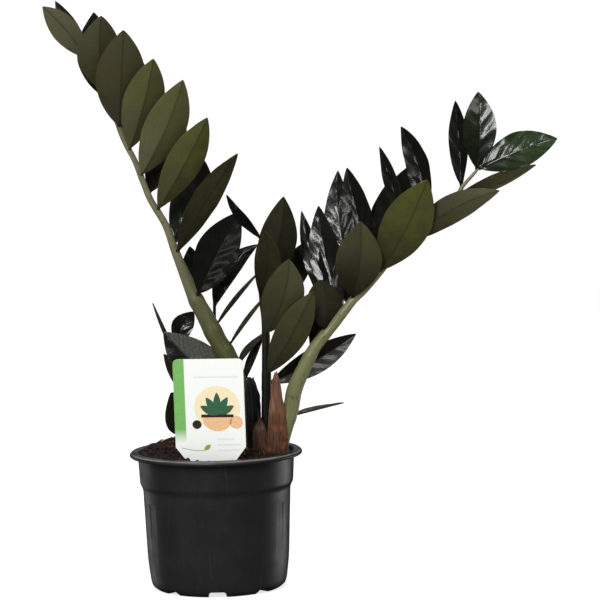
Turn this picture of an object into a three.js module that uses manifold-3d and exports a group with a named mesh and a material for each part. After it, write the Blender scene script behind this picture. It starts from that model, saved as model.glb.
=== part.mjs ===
// Potted zz plant: a dark young Zamioculcas in a 12 cm plastic nursery pot.
//
// Millimetres, +Z up, -Y is the front.  The origin is the middle of the flat
// disc under the pot.  Three long fronds and a short one grow from a buried
// rhizome, with brown papery sheaths round their feet and a plant label in
// front.  Every frond is one body: a tapering stem with its leaflets sunk
// into it.  Stems, label and sheaths stand in plain holes in the soil.

import * as THREE from 'three';
import { mergeVertices } from 'three/addons/utils/BufferGeometryUtils.js';
import Module from 'manifold-3d';

const wasm = await Module();
wasm.setup();

// ---------------------------------------------------------------- driving sizes

const GAP = 0.3; // free space between pieces that touch
const SIDES = 48; // facets round the pot

const POT = {
  height: 96,
  rim: 60, // outer radius of the rolled lip
  lip: 3.6, // height of the lip
  collar: 54.3, // outer radius under the lip
  step: 74, // the collar ends here and the body steps in
  body: 51.3, // outer radius just under the step
  foot: 47.4, // outer radius just above the bottom edge
  wall: 1.6,
  floor: 5.6, // top of the floor, which the channels below run into
};
const CHANNEL = { count: 8, width: 13, top: 10, height: 4, inner: 17 };
const DRAIN = { radius: 4, ring: 35 };
const LUG = { count: 3, first: -30, width: 9, top: 62, bottom: 9, depth: 0.8 };

const SOIL = { edge: 93.2, dome: 3, grain: 0.9 };
const MOUND = { x: -28, y: 4, height: 8, wide: 23, deep: 30 };

const LABEL = { width: 49.2, top: 164, shoulder: 103.6, stake: 15, tip: 66, thick: 0.8, lean: 0.8, yaw: 12 };
const LABEL_AT = { x: -2.1, y: -42 };

const BLADE = 0.8; // thickness of a leaflet
const FOLD = 12; // degrees that each half of a leaflet rises from its midrib
const STATIONS = [0.08, 0.24, 0.41, 0.57, 0.72, 0.86, 0.95, 1]; // along a blade

// Stems, from foot to tip: x, y, z, radius.
const STEMS = {
  left: [
    [29, 11, 62, 4.6], [28, 12, 93, 6.2], [22, 9, 119, 6.2], [16, 7, 144, 6.2], [10, 6, 160, 6.4],
    [4, 6, 170, 6.2], [-1, 6, 180, 6], [-5, 6, 190, 5.5], [-12, 5, 200, 5], [-19, 5, 218, 3.7],
    [-25, 4, 235, 2.8], [-31, 3, 253, 2.5], [-41, 2, 271, 2.2], [-46, 2, 284, 2.1],
    [-51, 1, 298, 2], [-58, 1, 312, 1.8], [-65, 0, 332, 1.6], [-75, 0, 355, 1.5], [-84, 0, 373, 1.2],
  ],
  middle: [
    [31, 1, 62, 3], [35, -1, 93, 4], [36, -2, 130, 3.5], [36.6, -5, 165, 3], [36.3, -8, 186, 2.5],
    [35, -10, 200, 2.3], [34, -13, 215, 2.1], [33, -15, 227, 1.8], [34, -17, 238, 1.5],
    [36, -18, 245, 1.2],
  ],
  right: [
    [40, -8, 62, 3.8], [42, -6.5, 80, 4.8], [44.6, -5, 94, 5.4], [46, -5, 102, 5.4], [49.2, -5, 113, 5.5],
    [52.8, -5, 124, 5.5], [55.6, -5, 137, 5.5], [62, -5, 151, 5], [69.5, -5, 165, 4.3], [75, -5, 172, 4],
    [83, -5, 181, 3.5], [92, -5, 192, 3.1],
    [98, -4, 199, 2.8], [105, -4, 205, 2.6], [115, -3, 216, 2.4], [123, -2, 225, 2.2],
    [137, 0, 239, 2], [149, 1, 250, 1.8], [158, 2, 259, 1.6], [170, 3, 268, 1.5],
    [175, 3, 275, 1.3], [186, 3, 287, 1.1],
  ],
  short: [
    [12, 18, 62, 3.6], [8, 20, 89, 4.4], [-3, 21, 110, 3.5], [-13, 22, 129, 2.8], [-21, 22, 146, 2.2],
    [-25, 22, 159, 1.7], [-27, 22, 167, 1.3],
  ],
};

// Leaflets: height on the stem, side of the stem (-1 front, 1 back), tip x, y, z,
// width, turn about the midrib in degrees (0 faces the front), sideways bow.
// The first list of a frond shows its undersides to the front, the second its tops.
const LEAFLETS = {
  left: {
    under: [
      [369, -1, -110.1, -16, 404.9, 18.5, -20, -2],
      [345, -1, -69.8, -24, 397.8, 30, -18, 2],
      [321, -1, -54.8, -27, 387.9, 34, -18, 0],
      [305, -1, -34.9, -27, 368.1, 28, -18, -2],
      [287, -1, -15.2, -27, 353.3, 29, -18, -2.5],
      [263, -1, 0.6, -25, 327.5, 25, -20, -2],
      [233, -1, 20.4, -22, 302.7, 19, -22, 1.6],
    ],
    upper: [
      [365, 1, -104.5, 20, 409.1, 13, 15, 0],
      [339, 1, -79, 34, 401.2, 26, 15, 3],
      [317, 1, -51.9, 38, 374, 28, 15, -2],
      [274, 1, -19.6, 40, 328.6, 26, 15, -1],
      [238, 1, -4.4, 40, 296.4, 28, 15, -2],
      [199, 1, -17, 50, 235, 15, 15, 0],
      [201, -1, 21.1, -20, 262.3, 29, 10, 1],
      [176, 1, 32, 30, 236.5, 15, 20, 6, 0, 16, -9.5],
      [179, 1, 33, 36, 217, 20, 90, 0],
      [164, 1, 38, 30, 201, 18, 90, 0],
      [151, 1, 36, 34, 174, 18, 80, 0],
      [136, 1, 35, 26, 173, 18, 74, 0],
      [124, 1, -34.5, 8, 178, 33, -10, 2],
    ],
  },
  middle: {
    under: [
      [211, 1, 51, 14, 270, 26, 0, -3.7],
      [197, -1, 38, -44, 251, 18, 0, -2.5],
      [175, -1, 54, -30, 230, 28, -8, -4],
      [147, -1, 70, -22, 207, 23, -10, -1.5],
    ],
    upper: [
      [243, -1, 12, -32, 274, 11, 50, -0.4],
      [140, 1, 100, 26, 172, 18.5, 0, -1.8],
      [195, 1, 71, 42, 240, 21, 10, -2, -6],
    ],
  },
  right: {
    under: [
      [175, -1, 76, 12, 212, 24, -12, 0, 8],
      [198, -1, 103.7, -8, 253, 32, -8, 0, 14],
      [217, -1, 149.2, -24, 281.9, 34, -12, -2.5],
      [237, -1, 199.1, -16, 272.7, 20, -8, 4.5],
      [268, -1, 225.5, 2, 289.3, 23, -60, -6],
    ],
    upper: [
      [190, 1, 75, 18, 263, 22.5, 16, 4],
      [184, 1, 63, 30, 259, 14, 20, 2],
      [201, 1, 89.1, 38, 286.6, 22, 15, 4],
      [212, 1, 95.2, 32, 288.5, 26, 35, -1],
      [220, 1, 125.2, 46, 277.7, 23, 20, 0],
      [236, 1, 118.4, 34, 302.5, 14.5, 45, -3],
      [216, 1, 144.3, 48, 290.7, 30, 15, 0],
      [252, 1, 133.6, 32, 316.5, 20, 40, -6],
      [274, 1, 171.7, 22, 333.7, 19, 50, -2],
      [286, 1, 187.4, 10, 339.9, 23, 0, -1],
      [288, -1, 239.5, -10, 307.2, 25.5, 20, 2],
      [118, 1, 90, 30, 123, 18, 94, 0],
      [160, 1, 88, 34, 222, 17, 10, 0],
      [194, 1, 92, 36, 250, 24, 10, 3],
    ],
  },
  short: {
    under: [
      [124, -1, -35, 8, 163, 12, 0, 0],
      [104, -1, -31, 6, 136, 29, 0, 6],
    ],
    upper: [
      [150, 1, -43, 34, 196, 18, 88, 0],
      [165, 1, -14, 30, 190, 15, 0, 3],
    ],
  },
};

// Papery sheaths: which way the back faces in degrees, then rows of
// x, y, z, half width and how far the edges curl back.
const SHEATHS = {
  left: {
    facing: -75,
    rows: [[29.5, 4, 86, 6.2, 3], [29.5, 4, 96, 6.2, 3], [27.5, 0.8, 119, 5.2, 2],
      [27, 1, 132, 5.3, 1.6], [25.2, 1.5, 146, 2.2, 0.4]],
  },
  middle: {
    facing: -90,
    rows: [[31, -9, 88, 5.8, 2], [31, -9, 97, 5.6, 2], [30.8, -9, 110, 4.8, 1.6], [31.3, -8, 119, 0.7, 0.2]],
  },
  right: {
    facing: -90,
    rows: [[42, -13.6, 88, 7.4, 2.4], [42.6, -13.6, 96, 8, 2.4], [43.2, -13, 117, 5.4, 1.6],
      [43, -11.5, 132, 3.3, 1], [43, -10, 145, 2.6, 0.8], [43, -9.5, 151, 0.6, 0.1]],
  },
};
const SHEATH_THICK = 0.8;

// Lumps of the rhizome: x, y, z, radius.
const RHIZOME = [[12, 12, 56, 15], [27, 4, 54, 17], [36, -4, 58, 10]];

// ---------------------------------------------------------------- materials

const finish = (color, roughness) => new THREE.MeshStandardMaterial({ color, roughness, metalness: 0 });
const potPlastic = finish(0x2b2a2a, 0.55);
const peat = finish(0x4a3022, 0.95);
const card = finish(0xf4f5f0, 0.4);
const leaf = finish(0x3a3c28, 0.35);
const papery = finish(0x8a5f45, 0.8);
const darkPapery = finish(0x2c2420, 0.8);
const tuber = finish(0x9a7a55, 0.9);

// ---------------------------------------------------------------- helpers

const deg = THREE.MathUtils.degToRad;

// A closed geometry as a solid that can be joined and cut.
function solid(geometry) {
  const bare = geometry.index ? geometry.toNonIndexed() : geometry.clone();
  bare.deleteAttribute('normal');
  bare.deleteAttribute('uv');
  const merged = mergeVertices(bare, 1e-4);
  return new wasm.Manifold(new wasm.Mesh({
    numProp: 3,
    vertProperties: Float32Array.from(merged.attributes.position.array),
    triVerts: Uint32Array.from(merged.index.array),
  }));
}

// A solid back as a flat-shaded geometry, without edges under a fiftieth of a millimetre.
function toGeometry(body) {
  const mesh = body.asOriginal().simplify(0.02).getMesh();
  const geometry = new THREE.BufferGeometry();
  geometry.setAttribute('position', new THREE.BufferAttribute(Float32Array.from(mesh.vertProperties), 3));
  geometry.setIndex(new THREE.BufferAttribute(Uint32Array.from(mesh.triVerts), 1));
  const flat = geometry.toNonIndexed();
  flat.computeVertexNormals();
  return flat;
}

function named(name, body, material) {
  const mesh = new THREE.Mesh(toGeometry(body), material);
  mesh.name = name;
  return mesh;
}

// A closed skin over rings of points that all have the same count and run
// anticlockwise seen from the end.  flips names the side strips whose quads
// are split along their other diagonal.
function loft(rings, flips = []) {
  const points = [];
  const n = rings[0].length;
  const tri = (a, b, c) => [a, b, c].forEach((p) => points.push(p.x, p.y, p.z));
  for (let i = 0; i + 1 < rings.length; i++) {
    for (let j = 0; j < n; j++) {
      const k = (j + 1) % n;
      const [a, b, c, d] = [rings[i][j], rings[i][k], rings[i + 1][k], rings[i + 1][j]];
      if (flips.includes(j)) { tri(a, b, d); tri(b, c, d); } else { tri(a, b, c); tri(a, c, d); }
    }
  }
  const first = rings[0];
  const last = rings[rings.length - 1];
  for (let j = 1; j + 1 < n; j++) {
    tri(first[0], first[j + 1], first[j]);
    tri(last[0], last[j], last[j + 1]);
  }
  const geometry = new THREE.BufferGeometry();
  geometry.setAttribute('position', new THREE.Float32BufferAttribute(points, 3));
  return solid(geometry);
}

// A ring of n points round a centre, in the plane of two unit vectors.
function circle(centre, u, v, radius, n) {
  return Array.from({ length: n }, (_, j) => {
    const a = (2 * Math.PI * j) / n;
    return centre.clone().addScaledVector(u, radius * Math.cos(a)).addScaledVector(v, radius * Math.sin(a));
  });
}

// ---------------------------------------------------------------- stems

// The middle line and radius of a stem, at any share t of its length.
function stemLine(rows) {
  const curve = new THREE.CatmullRomCurve3(rows.map(([x, y, z]) => new THREE.Vector3(x, y, z)), false, 'centripetal');
  const radius = (t) => {
    const at = Math.min(t * (rows.length - 1), rows.length - 1.001);
    const i = Math.floor(at);
    return THREE.MathUtils.lerp(rows[i][3], rows[i + 1][3], at - i);
  };
  return { point: (t) => curve.getPoint(t), tangent: (t) => curve.getTangent(t), radius, rows };
}

// The share of a rising stem's length at which it passes the height z.
function shareAt(line, z) {
  let [low, high] = [0, 1];
  for (let i = 0; i < 30; i++) {
    const mid = (low + high) / 2;
    if (line.point(mid).z < z) low = mid; else high = mid;
  }
  return (low + high) / 2;
}

function stemBody(line, extra = 0) {
  const count = line.rows.length;
  const rings = [];
  for (let i = 0; i < count; i++) {
    const t = i / (count - 1);
    const along = line.tangent(t).normalize();
    const u = new THREE.Vector3(0, 1, 0).cross(along).normalize();
    rings.push(circle(line.point(t), u, along.clone().cross(u), line.radius(t) + extra, 8));
  }
  return loft(rings);
}

// ---------------------------------------------------------------- leaflets

// Share of the full width at the share s of a blade: round at its base,
// widest at the middle and drawn out to a point.
const WIDEST = 0.5;
const outline = (s) => (s < WIDEST
  ? Math.sin((Math.PI / 2) * (s / WIDEST)) ** 0.72
  : Math.cos((Math.PI / 2) * ((s - WIDEST) / (1 - WIDEST))) ** 0.85);

// One leaflet: a short stalk out of the stem, then a folded pointed blade.
// shows is -1 where the front sees the underside, 1 where it sees the top.
function leaflet(line, [height, side, x, y, z, width, turn, bow, arch = 0, reach = 0.6, sway = 0], shows) {
  const t = shareAt(line, height);
  const root = line.point(t);
  const tip = new THREE.Vector3(x, y, z);
  const toTip = tip.clone().sub(root).normalize();
  const stalk = line.radius(t) + reach;
  const outward = side * (line.radius(t) + 1.2) * 0.8;
  const start = root.clone().addScaledVector(toTip, stalk).add(new THREE.Vector3(sway, outward, 0));

  const along = tip.clone().sub(start).normalize();
  const front = new THREE.Vector3(0, -1, 0).addScaledVector(along, along.y).normalize();
  const across = along.clone().cross(front).normalize();
  const w = across.clone().applyAxisAngle(along, -deg(turn));
  const n = front.clone().applyAxisAngle(along, -deg(turn));
  const rise = shows * Math.sin(deg(FOLD));

  const ring = (centre, half, thick, fold) => {
    const edge = (sign) => centre.clone().addScaledVector(w, sign * half).addScaledVector(n, fold * half);
    const up = n.clone().multiplyScalar(thick / 2);
    const [left, right] = [edge(-1), edge(1)];
    return [left.clone().add(up), centre.clone().add(up), right.clone().add(up),
      right.clone().sub(up), centre.clone().sub(up), left.clone().sub(up)];
  };
  const inward = root.clone().addScaledVector(start.clone().sub(root), 0.1);
  const rings = [ring(inward, 1, 1.6, 0), ring(start, 1, 1.4, 0)];
  for (const s of STATIONS) {
    const bulge = 4 * s * (1 - s);
    const centre = start.clone().lerp(tip, s).addScaledVector(w, -bow * bulge).addScaledVector(n, arch * bulge);
    const half = s < 1 ? (width / 2) * outline(s) : 0.4;
    rings.push(ring(centre, half, BLADE, rise));
  }
  // Both halves of both faces are split outward from the midrib alike.
  return loft(rings, [0, 3]);
}

function frond(name) {
  const line = stemLine(STEMS[name]);
  const blades = [
    ...LEAFLETS[name].under.map((row) => leaflet(line, row, -1)),
    ...LEAFLETS[name].upper.map((row) => leaflet(line, row, 1)),
  ];
  return blades.reduce((body, blade) => body.add(blade), stemBody(line));
}

// ---------------------------------------------------------------- sheaths

function sheath({ facing, rows }, extra = 0) {
  const out = new THREE.Vector3(Math.cos(deg(facing)), Math.sin(deg(facing)), 0);
  const side = new THREE.Vector3(-out.y, out.x, 0);
  const steps = [-1, -0.5, 0, 0.5, 1];
  const rings = rows.map(([x, y, z, half, curl], i) => {
    const wider = (half + extra) / half; // the same curve, carried on past its edges
    const at = (u, depth) => new THREE.Vector3(x, y, i === 0 ? z - extra : z)
      .addScaledVector(side, half * wider * u)
      .addScaledVector(out, -curl * (wider * u) ** 2 - depth);
    return [...steps.map((u) => at(u, -extra)), ...steps.toReversed().map((u) => at(u, SHEATH_THICK + extra))];
  });
  return loft(rings);
}

// ---------------------------------------------------------------- pot

function potShell() {
  const { height: h, rim, lip, collar, step, body, foot, wall, floor } = POT;
  const profile = [
    [0, 0], [43, 0], [44.6, 1.2], [foot - 1, 2.6], [foot, 6], [foot + 1.8, 20], [body, step - 4],
    [collar - 1, step], [collar, h - lip], [rim - 0.8, h - lip], [rim, h - lip + 0.9], [rim, h - 0.9],
    [rim - 0.8, h], [collar + 0.2, h], [collar - wall, h - 1.4], [collar - 1 - wall, step + 0.6],
    [body - wall, step - 3.4], [foot + 1.8 - wall, 20], [foot - wall, floor + 2], [foot - wall - 2, floor],
    [0, floor],
  ];
  return solid(new THREE.LatheGeometry(profile.map(([x, y]) => new THREE.Vector2(x, y)), SIDES).rotateX(Math.PI / 2));
}

// One drain channel under the floor, running out to the front.
function channel() {
  const { width, top, height, inner } = CHANNEL;
  const shape = new THREE.Shape([
    new THREE.Vector2(-width / 2, -1), new THREE.Vector2(width / 2, -1),
    new THREE.Vector2(top / 2, height), new THREE.Vector2(-top / 2, height),
  ]);
  const bar = new THREE.ExtrudeGeometry(shape, { depth: 50, bevelEnabled: false });
  return solid(bar.rotateX(Math.PI / 2).translate(0, -inner, 0));
}

// The shallow recess of a stacking lug, deepest at its top.
function lugRecess() {
  const { width, top, bottom, depth } = LUG;
  const outer = (z) => THREE.MathUtils.mapLinear(z, 20, POT.step - 4, POT.foot + 1.8, POT.body);
  const shape = new THREE.Shape([
    new THREE.Vector2(outer(top) - depth, top), new THREE.Vector2(outer(top) + 3, top),
    new THREE.Vector2(outer(bottom) + 3, bottom), new THREE.Vector2(outer(bottom) - 0.1, bottom),
  ]);
  const bar = new THREE.ExtrudeGeometry(shape, { depth: width, bevelEnabled: false });
  return solid(bar.translate(0, 0, -width / 2).rotateX(Math.PI / 2));
}

function turned(body, degrees) {
  return body.rotate([0, 0, degrees]);
}

function pot() {
  let body = potShell();
  const hole = solid(new THREE.CylinderGeometry(DRAIN.radius, DRAIN.radius, 20, 12)
    .rotateX(Math.PI / 2).translate(0, -DRAIN.ring, 0));
  for (let i = 0; i < CHANNEL.count; i++) {
    const angle = (360 * i) / CHANNEL.count;
    body = body.subtract(turned(channel(), angle)).subtract(turned(hole, angle));
  }
  for (let i = 0; i < LUG.count; i++) {
    body = body.subtract(turned(lugRecess(), LUG.first + (360 * i) / LUG.count));
  }
  return body;
}

// ---------------------------------------------------------------- label

// The card with its tapering stake, standing in the front of the soil.
function label(extra = 0) {
  const { width, top, shoulder, stake, tip, thick, lean, yaw } = LABEL;
  const shape = new THREE.Shape();
  const half = width / 2 + extra;
  shape.moveTo(-half, top + extra);
  shape.lineTo(-half, shoulder);
  shape.lineTo(-stake / 2 - 10 - extra, shoulder - 9);
  shape.lineTo(-stake / 2 - extra, shoulder - 16);
  shape.lineTo(-2 - extra, tip - extra);
  shape.lineTo(2 + extra, tip - extra);
  shape.lineTo(stake / 2 + extra, shoulder - 16);
  shape.lineTo(stake / 2 + 10 + extra, shoulder - 9);
  shape.lineTo(half, shoulder);
  shape.lineTo(half, top - 4);
  shape.lineTo(half - 1.2, top - 1.2);
  shape.lineTo(half - 4, top + extra);
  const plate = new THREE.ExtrudeGeometry(shape, { depth: thick + 2 * extra, bevelEnabled: false });
  plate.translate(0, 0, -thick / 2 - extra).rotateX(Math.PI / 2);
  plate.translate(0, 0, -shoulder).rotateY(deg(-lean)).rotateZ(deg(-yaw));
  plate.translate(LABEL_AT.x, LABEL_AT.y, shoulder);
  return solid(plate);
}

// ---------------------------------------------------------------- soil and rhizome

function rhizome(extra = 0) {
  const lumps = RHIZOME.map(([x, y, z, r]) => solid(
    new THREE.SphereGeometry(r + extra, 14, 8).scale(1, 0.7, 1).rotateX(Math.PI / 2).translate(x, y, z),
  ));
  return lumps.reduce((body, lump) => body.add(lump));
}

// The height of the soil: a low dome, a heap on the left and coarse grain.
function soilTop(x, y) {
  const reach = 1 - (x * x + y * y) / 53 ** 2;
  const heap = Math.exp(-(((x - MOUND.x) / MOUND.wide) ** 2) - ((y - MOUND.y) / MOUND.deep) ** 2);
  const grain = Math.sin(x * 0.9 + 1.3 * Math.sin(y * 0.7)) * Math.cos(y * 0.8 + Math.sin(x * 0.5));
  return SOIL.edge + SOIL.dome * reach + MOUND.height * heap + SOIL.grain * grain;
}

function soilFill() {
  const { step, body, foot, wall, floor, collar } = POT;
  const inner = wall + GAP;
  const side = [
    [0, floor + GAP], [foot - inner - 2, floor + GAP], [foot - inner, floor + 2 + GAP],
    [foot + 1.8 - inner, 20], [body - inner, step - 3.4], [collar - 1 - inner, step + 0.6 + 1],
    [collar - 0.2 - inner, 90],
  ];
  const rings = [51.5, 49, 45.5, 41, 36, 30.5, 25, 19, 13, 7];
  const top = rings.map((r) => [r, 100]);
  const profile = [...side, ...top, [0, 100]].map(([x, y]) => new THREE.Vector2(x, y));
  const geometry = new THREE.LatheGeometry(profile, 40).rotateX(Math.PI / 2);
  const at = geometry.attributes.position;
  for (let i = 0; i < at.count; i++) {
    if (at.getZ(i) > 95) at.setZ(i, soilTop(at.getX(i), at.getY(i)));
  }
  return solid(geometry);
}

function soil() {
  let body = soilFill().subtract(rhizome(GAP)).subtract(label(GAP));
  for (const rows of Object.values(STEMS)) body = body.subtract(stemBody(stemLine(rows), GAP + 0.1));
  for (const shape of Object.values(SHEATHS)) body = body.subtract(sheath(shape, GAP));
  return body;
}

function socketedRhizome() {
  return Object.values(STEMS).reduce((body, rows) => body.subtract(stemBody(stemLine(rows), GAP)), rhizome());
}

// ---------------------------------------------------------------- the plant

const plant = new THREE.Group();
plant.add(
  named('pot', pot(), potPlastic),
  named('soil', soil(), peat),
  named('label', label(), card),
  named('rhizome', socketedRhizome(), tuber),
  named('frond_left', frond('left'), leaf),
  named('frond_middle', frond('middle'), leaf),
  named('frond_right', frond('right'), leaf),
  named('frond_short', frond('short'), leaf),
  named('sheath_left', sheath(SHEATHS.left), darkPapery),
  named('sheath_middle', sheath(SHEATHS.middle), papery),
  named('sheath_right', sheath(SHEATHS.right), papery),
);

export default plant;
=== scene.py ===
"""A young zz plant in a 12 cm nursery pot, dressed for rendering.

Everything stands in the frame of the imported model: metres, +Z up, the front at -Y.  Sizes are written in
millimetres and turned into metres where a mesh is made.  Each sub-assembly is a class that builds its pieces
and dresses them with the finishes defined above it.
"""
import logging
import math
from collections.abc import Callable, Iterable, Sequence
from dataclasses import dataclass, field
from enum import Enum, IntEnum
from functools import partial

import bpy
import numpy as np
from mathutils import Matrix, Vector


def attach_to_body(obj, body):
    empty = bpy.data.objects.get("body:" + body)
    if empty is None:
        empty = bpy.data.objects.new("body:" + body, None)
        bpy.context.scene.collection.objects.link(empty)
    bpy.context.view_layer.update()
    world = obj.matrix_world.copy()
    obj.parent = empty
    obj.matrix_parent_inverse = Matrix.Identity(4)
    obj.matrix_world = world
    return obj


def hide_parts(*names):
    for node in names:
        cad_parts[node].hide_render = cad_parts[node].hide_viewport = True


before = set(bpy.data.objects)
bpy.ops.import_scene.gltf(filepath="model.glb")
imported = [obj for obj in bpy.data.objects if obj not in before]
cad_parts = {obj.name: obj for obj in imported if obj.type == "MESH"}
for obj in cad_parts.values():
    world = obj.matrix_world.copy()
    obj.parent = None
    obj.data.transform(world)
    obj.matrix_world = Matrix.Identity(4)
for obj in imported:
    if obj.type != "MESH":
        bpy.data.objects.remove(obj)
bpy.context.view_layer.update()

Colour = tuple[float, float, float, float]
Socket = bpy.types.NodeSocket
Inputs = dict[int | str, float | tuple[float, ...] | Socket]  # value or feeding socket of inputs of a node
Adder = Callable[..., Socket]  # add_node, bound to a tree
KeepOut = Callable[[float, float], bool]
Stops = tuple[tuple[float, str], ...]  # position and sRGB hex colour of each stop of a ramp, in rising order
MM = 0.001
FULL_TURN = 2 * math.pi
VEIN_SLANT, VEIN_BEND = 0.62, 1.3  # a side vein off mm from the midrib lies SLANT * off ** BEND mm nearer the tip
log = logging.getLogger("zz_plant")


class Detail(Enum):
    """How finely curved meshes are cut: the share of the full count of steps."""

    FULL = 1.0
    QUICK = 0.5

    def steps(self, count: int) -> int:
        """Returns count scaled to this detail, never under 6."""
        return max(6, round(count * self.value))


class Skin(IntEnum):
    """The finishes of a frond, in the order of its material slots."""

    TOP = 0
    UNDERSIDE = 1
    STEM = 2


class Shows(Enum):
    """Which face of a leaflet is turned to the front."""

    UNDERSIDE = -1
    TOP = 1


# ------------------------------------------------------------------------------------------------ shader helpers


def linear(hex_colour: str) -> Colour:
    """Turns an sRGB colour into the linear one that shaders take.

    Args:
        hex_colour: the colour as "#rrggbb".

    Returns:
        Linear red, green, blue and an alpha of 1.
    """
    shares = [int(hex_colour[i:i + 2], 16) / 255 for i in (1, 3, 5)]
    red, green, blue = (c / 12.92 if c <= 0.04045 else ((c + 0.055) / 1.055) ** 2.4 for c in shares)
    return red, green, blue, 1.0


def feed(node: bpy.types.Node, inputs: Inputs) -> None:
    """Sets inputs of a node, or links them.

    Args:
        node: the node.
        inputs: for each input, by name or number, its value or the socket that feeds it.
    """
    for key, value in inputs.items():
        if isinstance(value, Socket):
            node.id_data.links.new(value, node.inputs[key])
        else:
            node.inputs[key].default_value = value


def add_node(tree: bpy.types.NodeTree, kind: str, inputs: Inputs | None = None, output: int | str = 0,
             **settings: str | bool) -> Socket:
    """Adds one node with its settings and the links into it.

    Args:
        tree: the node tree that gets the node.
        kind: the node's Blender type, without "ShaderNode" in front.
        inputs: as for feed.
        output: name or number of the output that is wanted.
        **settings: values of the node's properties.

    Returns:
        That output.
    """
    node = tree.nodes.new(f"ShaderNode{kind}")
    for key, value in settings.items():
        setattr(node, key, value)
    feed(node, inputs or {})
    return node.outputs[output]


def set_stops(ramp: Socket, stops: Stops) -> Socket:
    """Gives a colour ramp its stops.

    Args:
        ramp: the ramp's colour output.
        stops: its stops.

    Returns:
        The same output.
    """
    elements = ramp.node.color_ramp.elements
    while len(elements) < len(stops):
        elements.new(0.5)
    for element, (position, colour) in zip(elements, stops):
        element.position = position
        element.color = linear(colour)
    return ramp


# ------------------------------------------------------------------------------------------------ mesh helpers


@dataclass
class Sketch:
    """A mesh in the making: points with a place on the surface in millimetres, and faces with a finish."""

    points: list[np.ndarray] = field(default_factory=list)
    places: list[np.ndarray] = field(default_factory=list)
    tones: list[np.ndarray] = field(default_factory=list)
    greens: list[np.ndarray] = field(default_factory=list)
    faces: list[tuple[int, ...]] = field(default_factory=list)
    finish_of: list[int] = field(default_factory=list)
    smooth: list[bool] = field(default_factory=list)
    count: int = 0

    def add(self, points: np.ndarray, places: np.ndarray, faces: Iterable[Sequence[int]], finish: int | Sequence[int],
            tone: float | np.ndarray = 0.5, green: float | np.ndarray = 0.0, smooth: bool = True) -> None:
        """Adds a patch of surface.

        Args:
            points: its corners, in millimetres, one row each.
            places: where each corner lies on the surface, in millimetres, for patterns.
            faces: corner numbers of each face, counted within this patch.
            finish: the number of the finish, for all faces or for each.
            tone: how dark or light it is among its like, from 0 to 1, for all corners or for each.
            green: how far the green tint shows, from 0 to 1, for all corners or for each; on leaf undersides it is a
                painted glow of light through the blade.
            smooth: whether its faces shade smoothly.
        """
        faces = [tuple(int(c) + self.count for c in face) for face in faces]
        self.points.append(np.asarray(points, float))
        self.places.append(np.asarray(places, float))
        self.tones.append(np.broadcast_to(np.asarray(tone, float), (len(points),)))
        self.greens.append(np.broadcast_to(np.asarray(green, float), (len(points),)))
        self.faces.extend(faces)
        self.finish_of.extend([finish] * len(faces) if isinstance(finish, int) else finish)
        self.smooth.extend([smooth] * len(faces))
        self.count += len(points)

    def rings(self, rings: np.ndarray, places: np.ndarray, finishes: int | Sequence[int], closed: bool = True,
              capped: bool = True, **dress: float | np.ndarray | bool) -> None:
        """Adds a skin over rings of points that all have the same count.

        Args:
            rings: the points, as ring, place in the ring, axis.
            places: their places on the surface, as ring, place in the ring, 2.
            finishes: the number of the finish, for all or for each strip along the skin.
            closed: whether each ring runs round to its first point.
            capped: whether the first and last ring are closed by a face.
            **dress: tone, green and smooth as for add.
        """
        count, around = rings.shape[:2]
        strips = around if closed else around - 1
        per_strip = [finishes] * strips if isinstance(finishes, int) else list(finishes)
        faces: list[tuple[int, ...]] = []
        used: list[int] = []
        for i in range(count - 1):
            for j in range(strips):
                k = (j + 1) % around
                faces.append((i * around + j, i * around + k, (i + 1) * around + k, (i + 1) * around + j))
                used.append(per_strip[j])
        if capped:
            last = (count - 1) * around
            faces += [tuple(reversed(range(around))), tuple(range(last, last + around))]
            used += [per_strip[0]] * 2
        self.add(rings.reshape(-1, 3), places.reshape(-1, 2), faces, used, **dress)

    def plate(self, outline: np.ndarray, front: float, back: float, finish: int, tone: float = 0.5) -> None:
        """Adds a flat closed plate that stands in the XZ plane.

        Args:
            outline: its corners as x and z, anticlockwise seen from the front.
            front: y of its front face.
            back: y of its back face.
            finish: the number of the finish.
            tone: its tone, as for add.
        """
        n = len(outline)
        sides = [np.column_stack([outline[:, 0], np.full(n, y), outline[:, 1]]) for y in (front, back)]
        faces = [tuple(range(n)), tuple(reversed(range(n, 2 * n)))]
        faces += [(i, i + n, (i + 1) % n + n, (i + 1) % n) for i in range(n)]
        self.add(np.vstack(sides), np.vstack([outline, outline]), faces, finish, tone, smooth=False)

    def to_object(self, name: str, finishes: Sequence[bpy.types.Material], crease: float = 50.0,
                  place: Matrix | None = None) -> bpy.types.Object:
        """Makes the object.

        Args:
            name: the piece's name.
            finishes: its materials, in the order that the faces' numbers mean.
            crease: edges sharper than this many degrees stay sharp.
            place: where the sketch's own frame stands, in millimetres.

        Returns:
            The object, in the scene.
        """
        points = np.vstack(self.points)
        if place is not None:
            turn = np.array(place)
            points = points @ turn[:3, :3].T + turn[:3, 3]
        mesh = bpy.data.meshes.new(name)
        mesh.from_pydata((points * MM).tolist(), [], self.faces)
        corners = np.empty(len(mesh.loops), np.int32)
        mesh.loops.foreach_get("vertex_index", corners)
        mesh.uv_layers.new(name="mm").data.foreach_set("uv", np.vstack(self.places)[corners].ravel())
        for label, values in (("tone", self.tones), ("green", self.greens)):
            mesh.attributes.new(label, "FLOAT", "POINT").data.foreach_set("value", np.concatenate(values))
        for material in finishes:
            mesh.materials.append(material)
        mesh.polygons.foreach_set("material_index", self.finish_of)
        mesh.polygons.foreach_set("use_smooth", self.smooth)
        mesh.set_sharp_from_angle(angle=math.radians(crease))
        mesh.update()
        piece = bpy.data.objects.new(name, mesh)
        bpy.context.scene.collection.objects.link(piece)
        return piece


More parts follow.
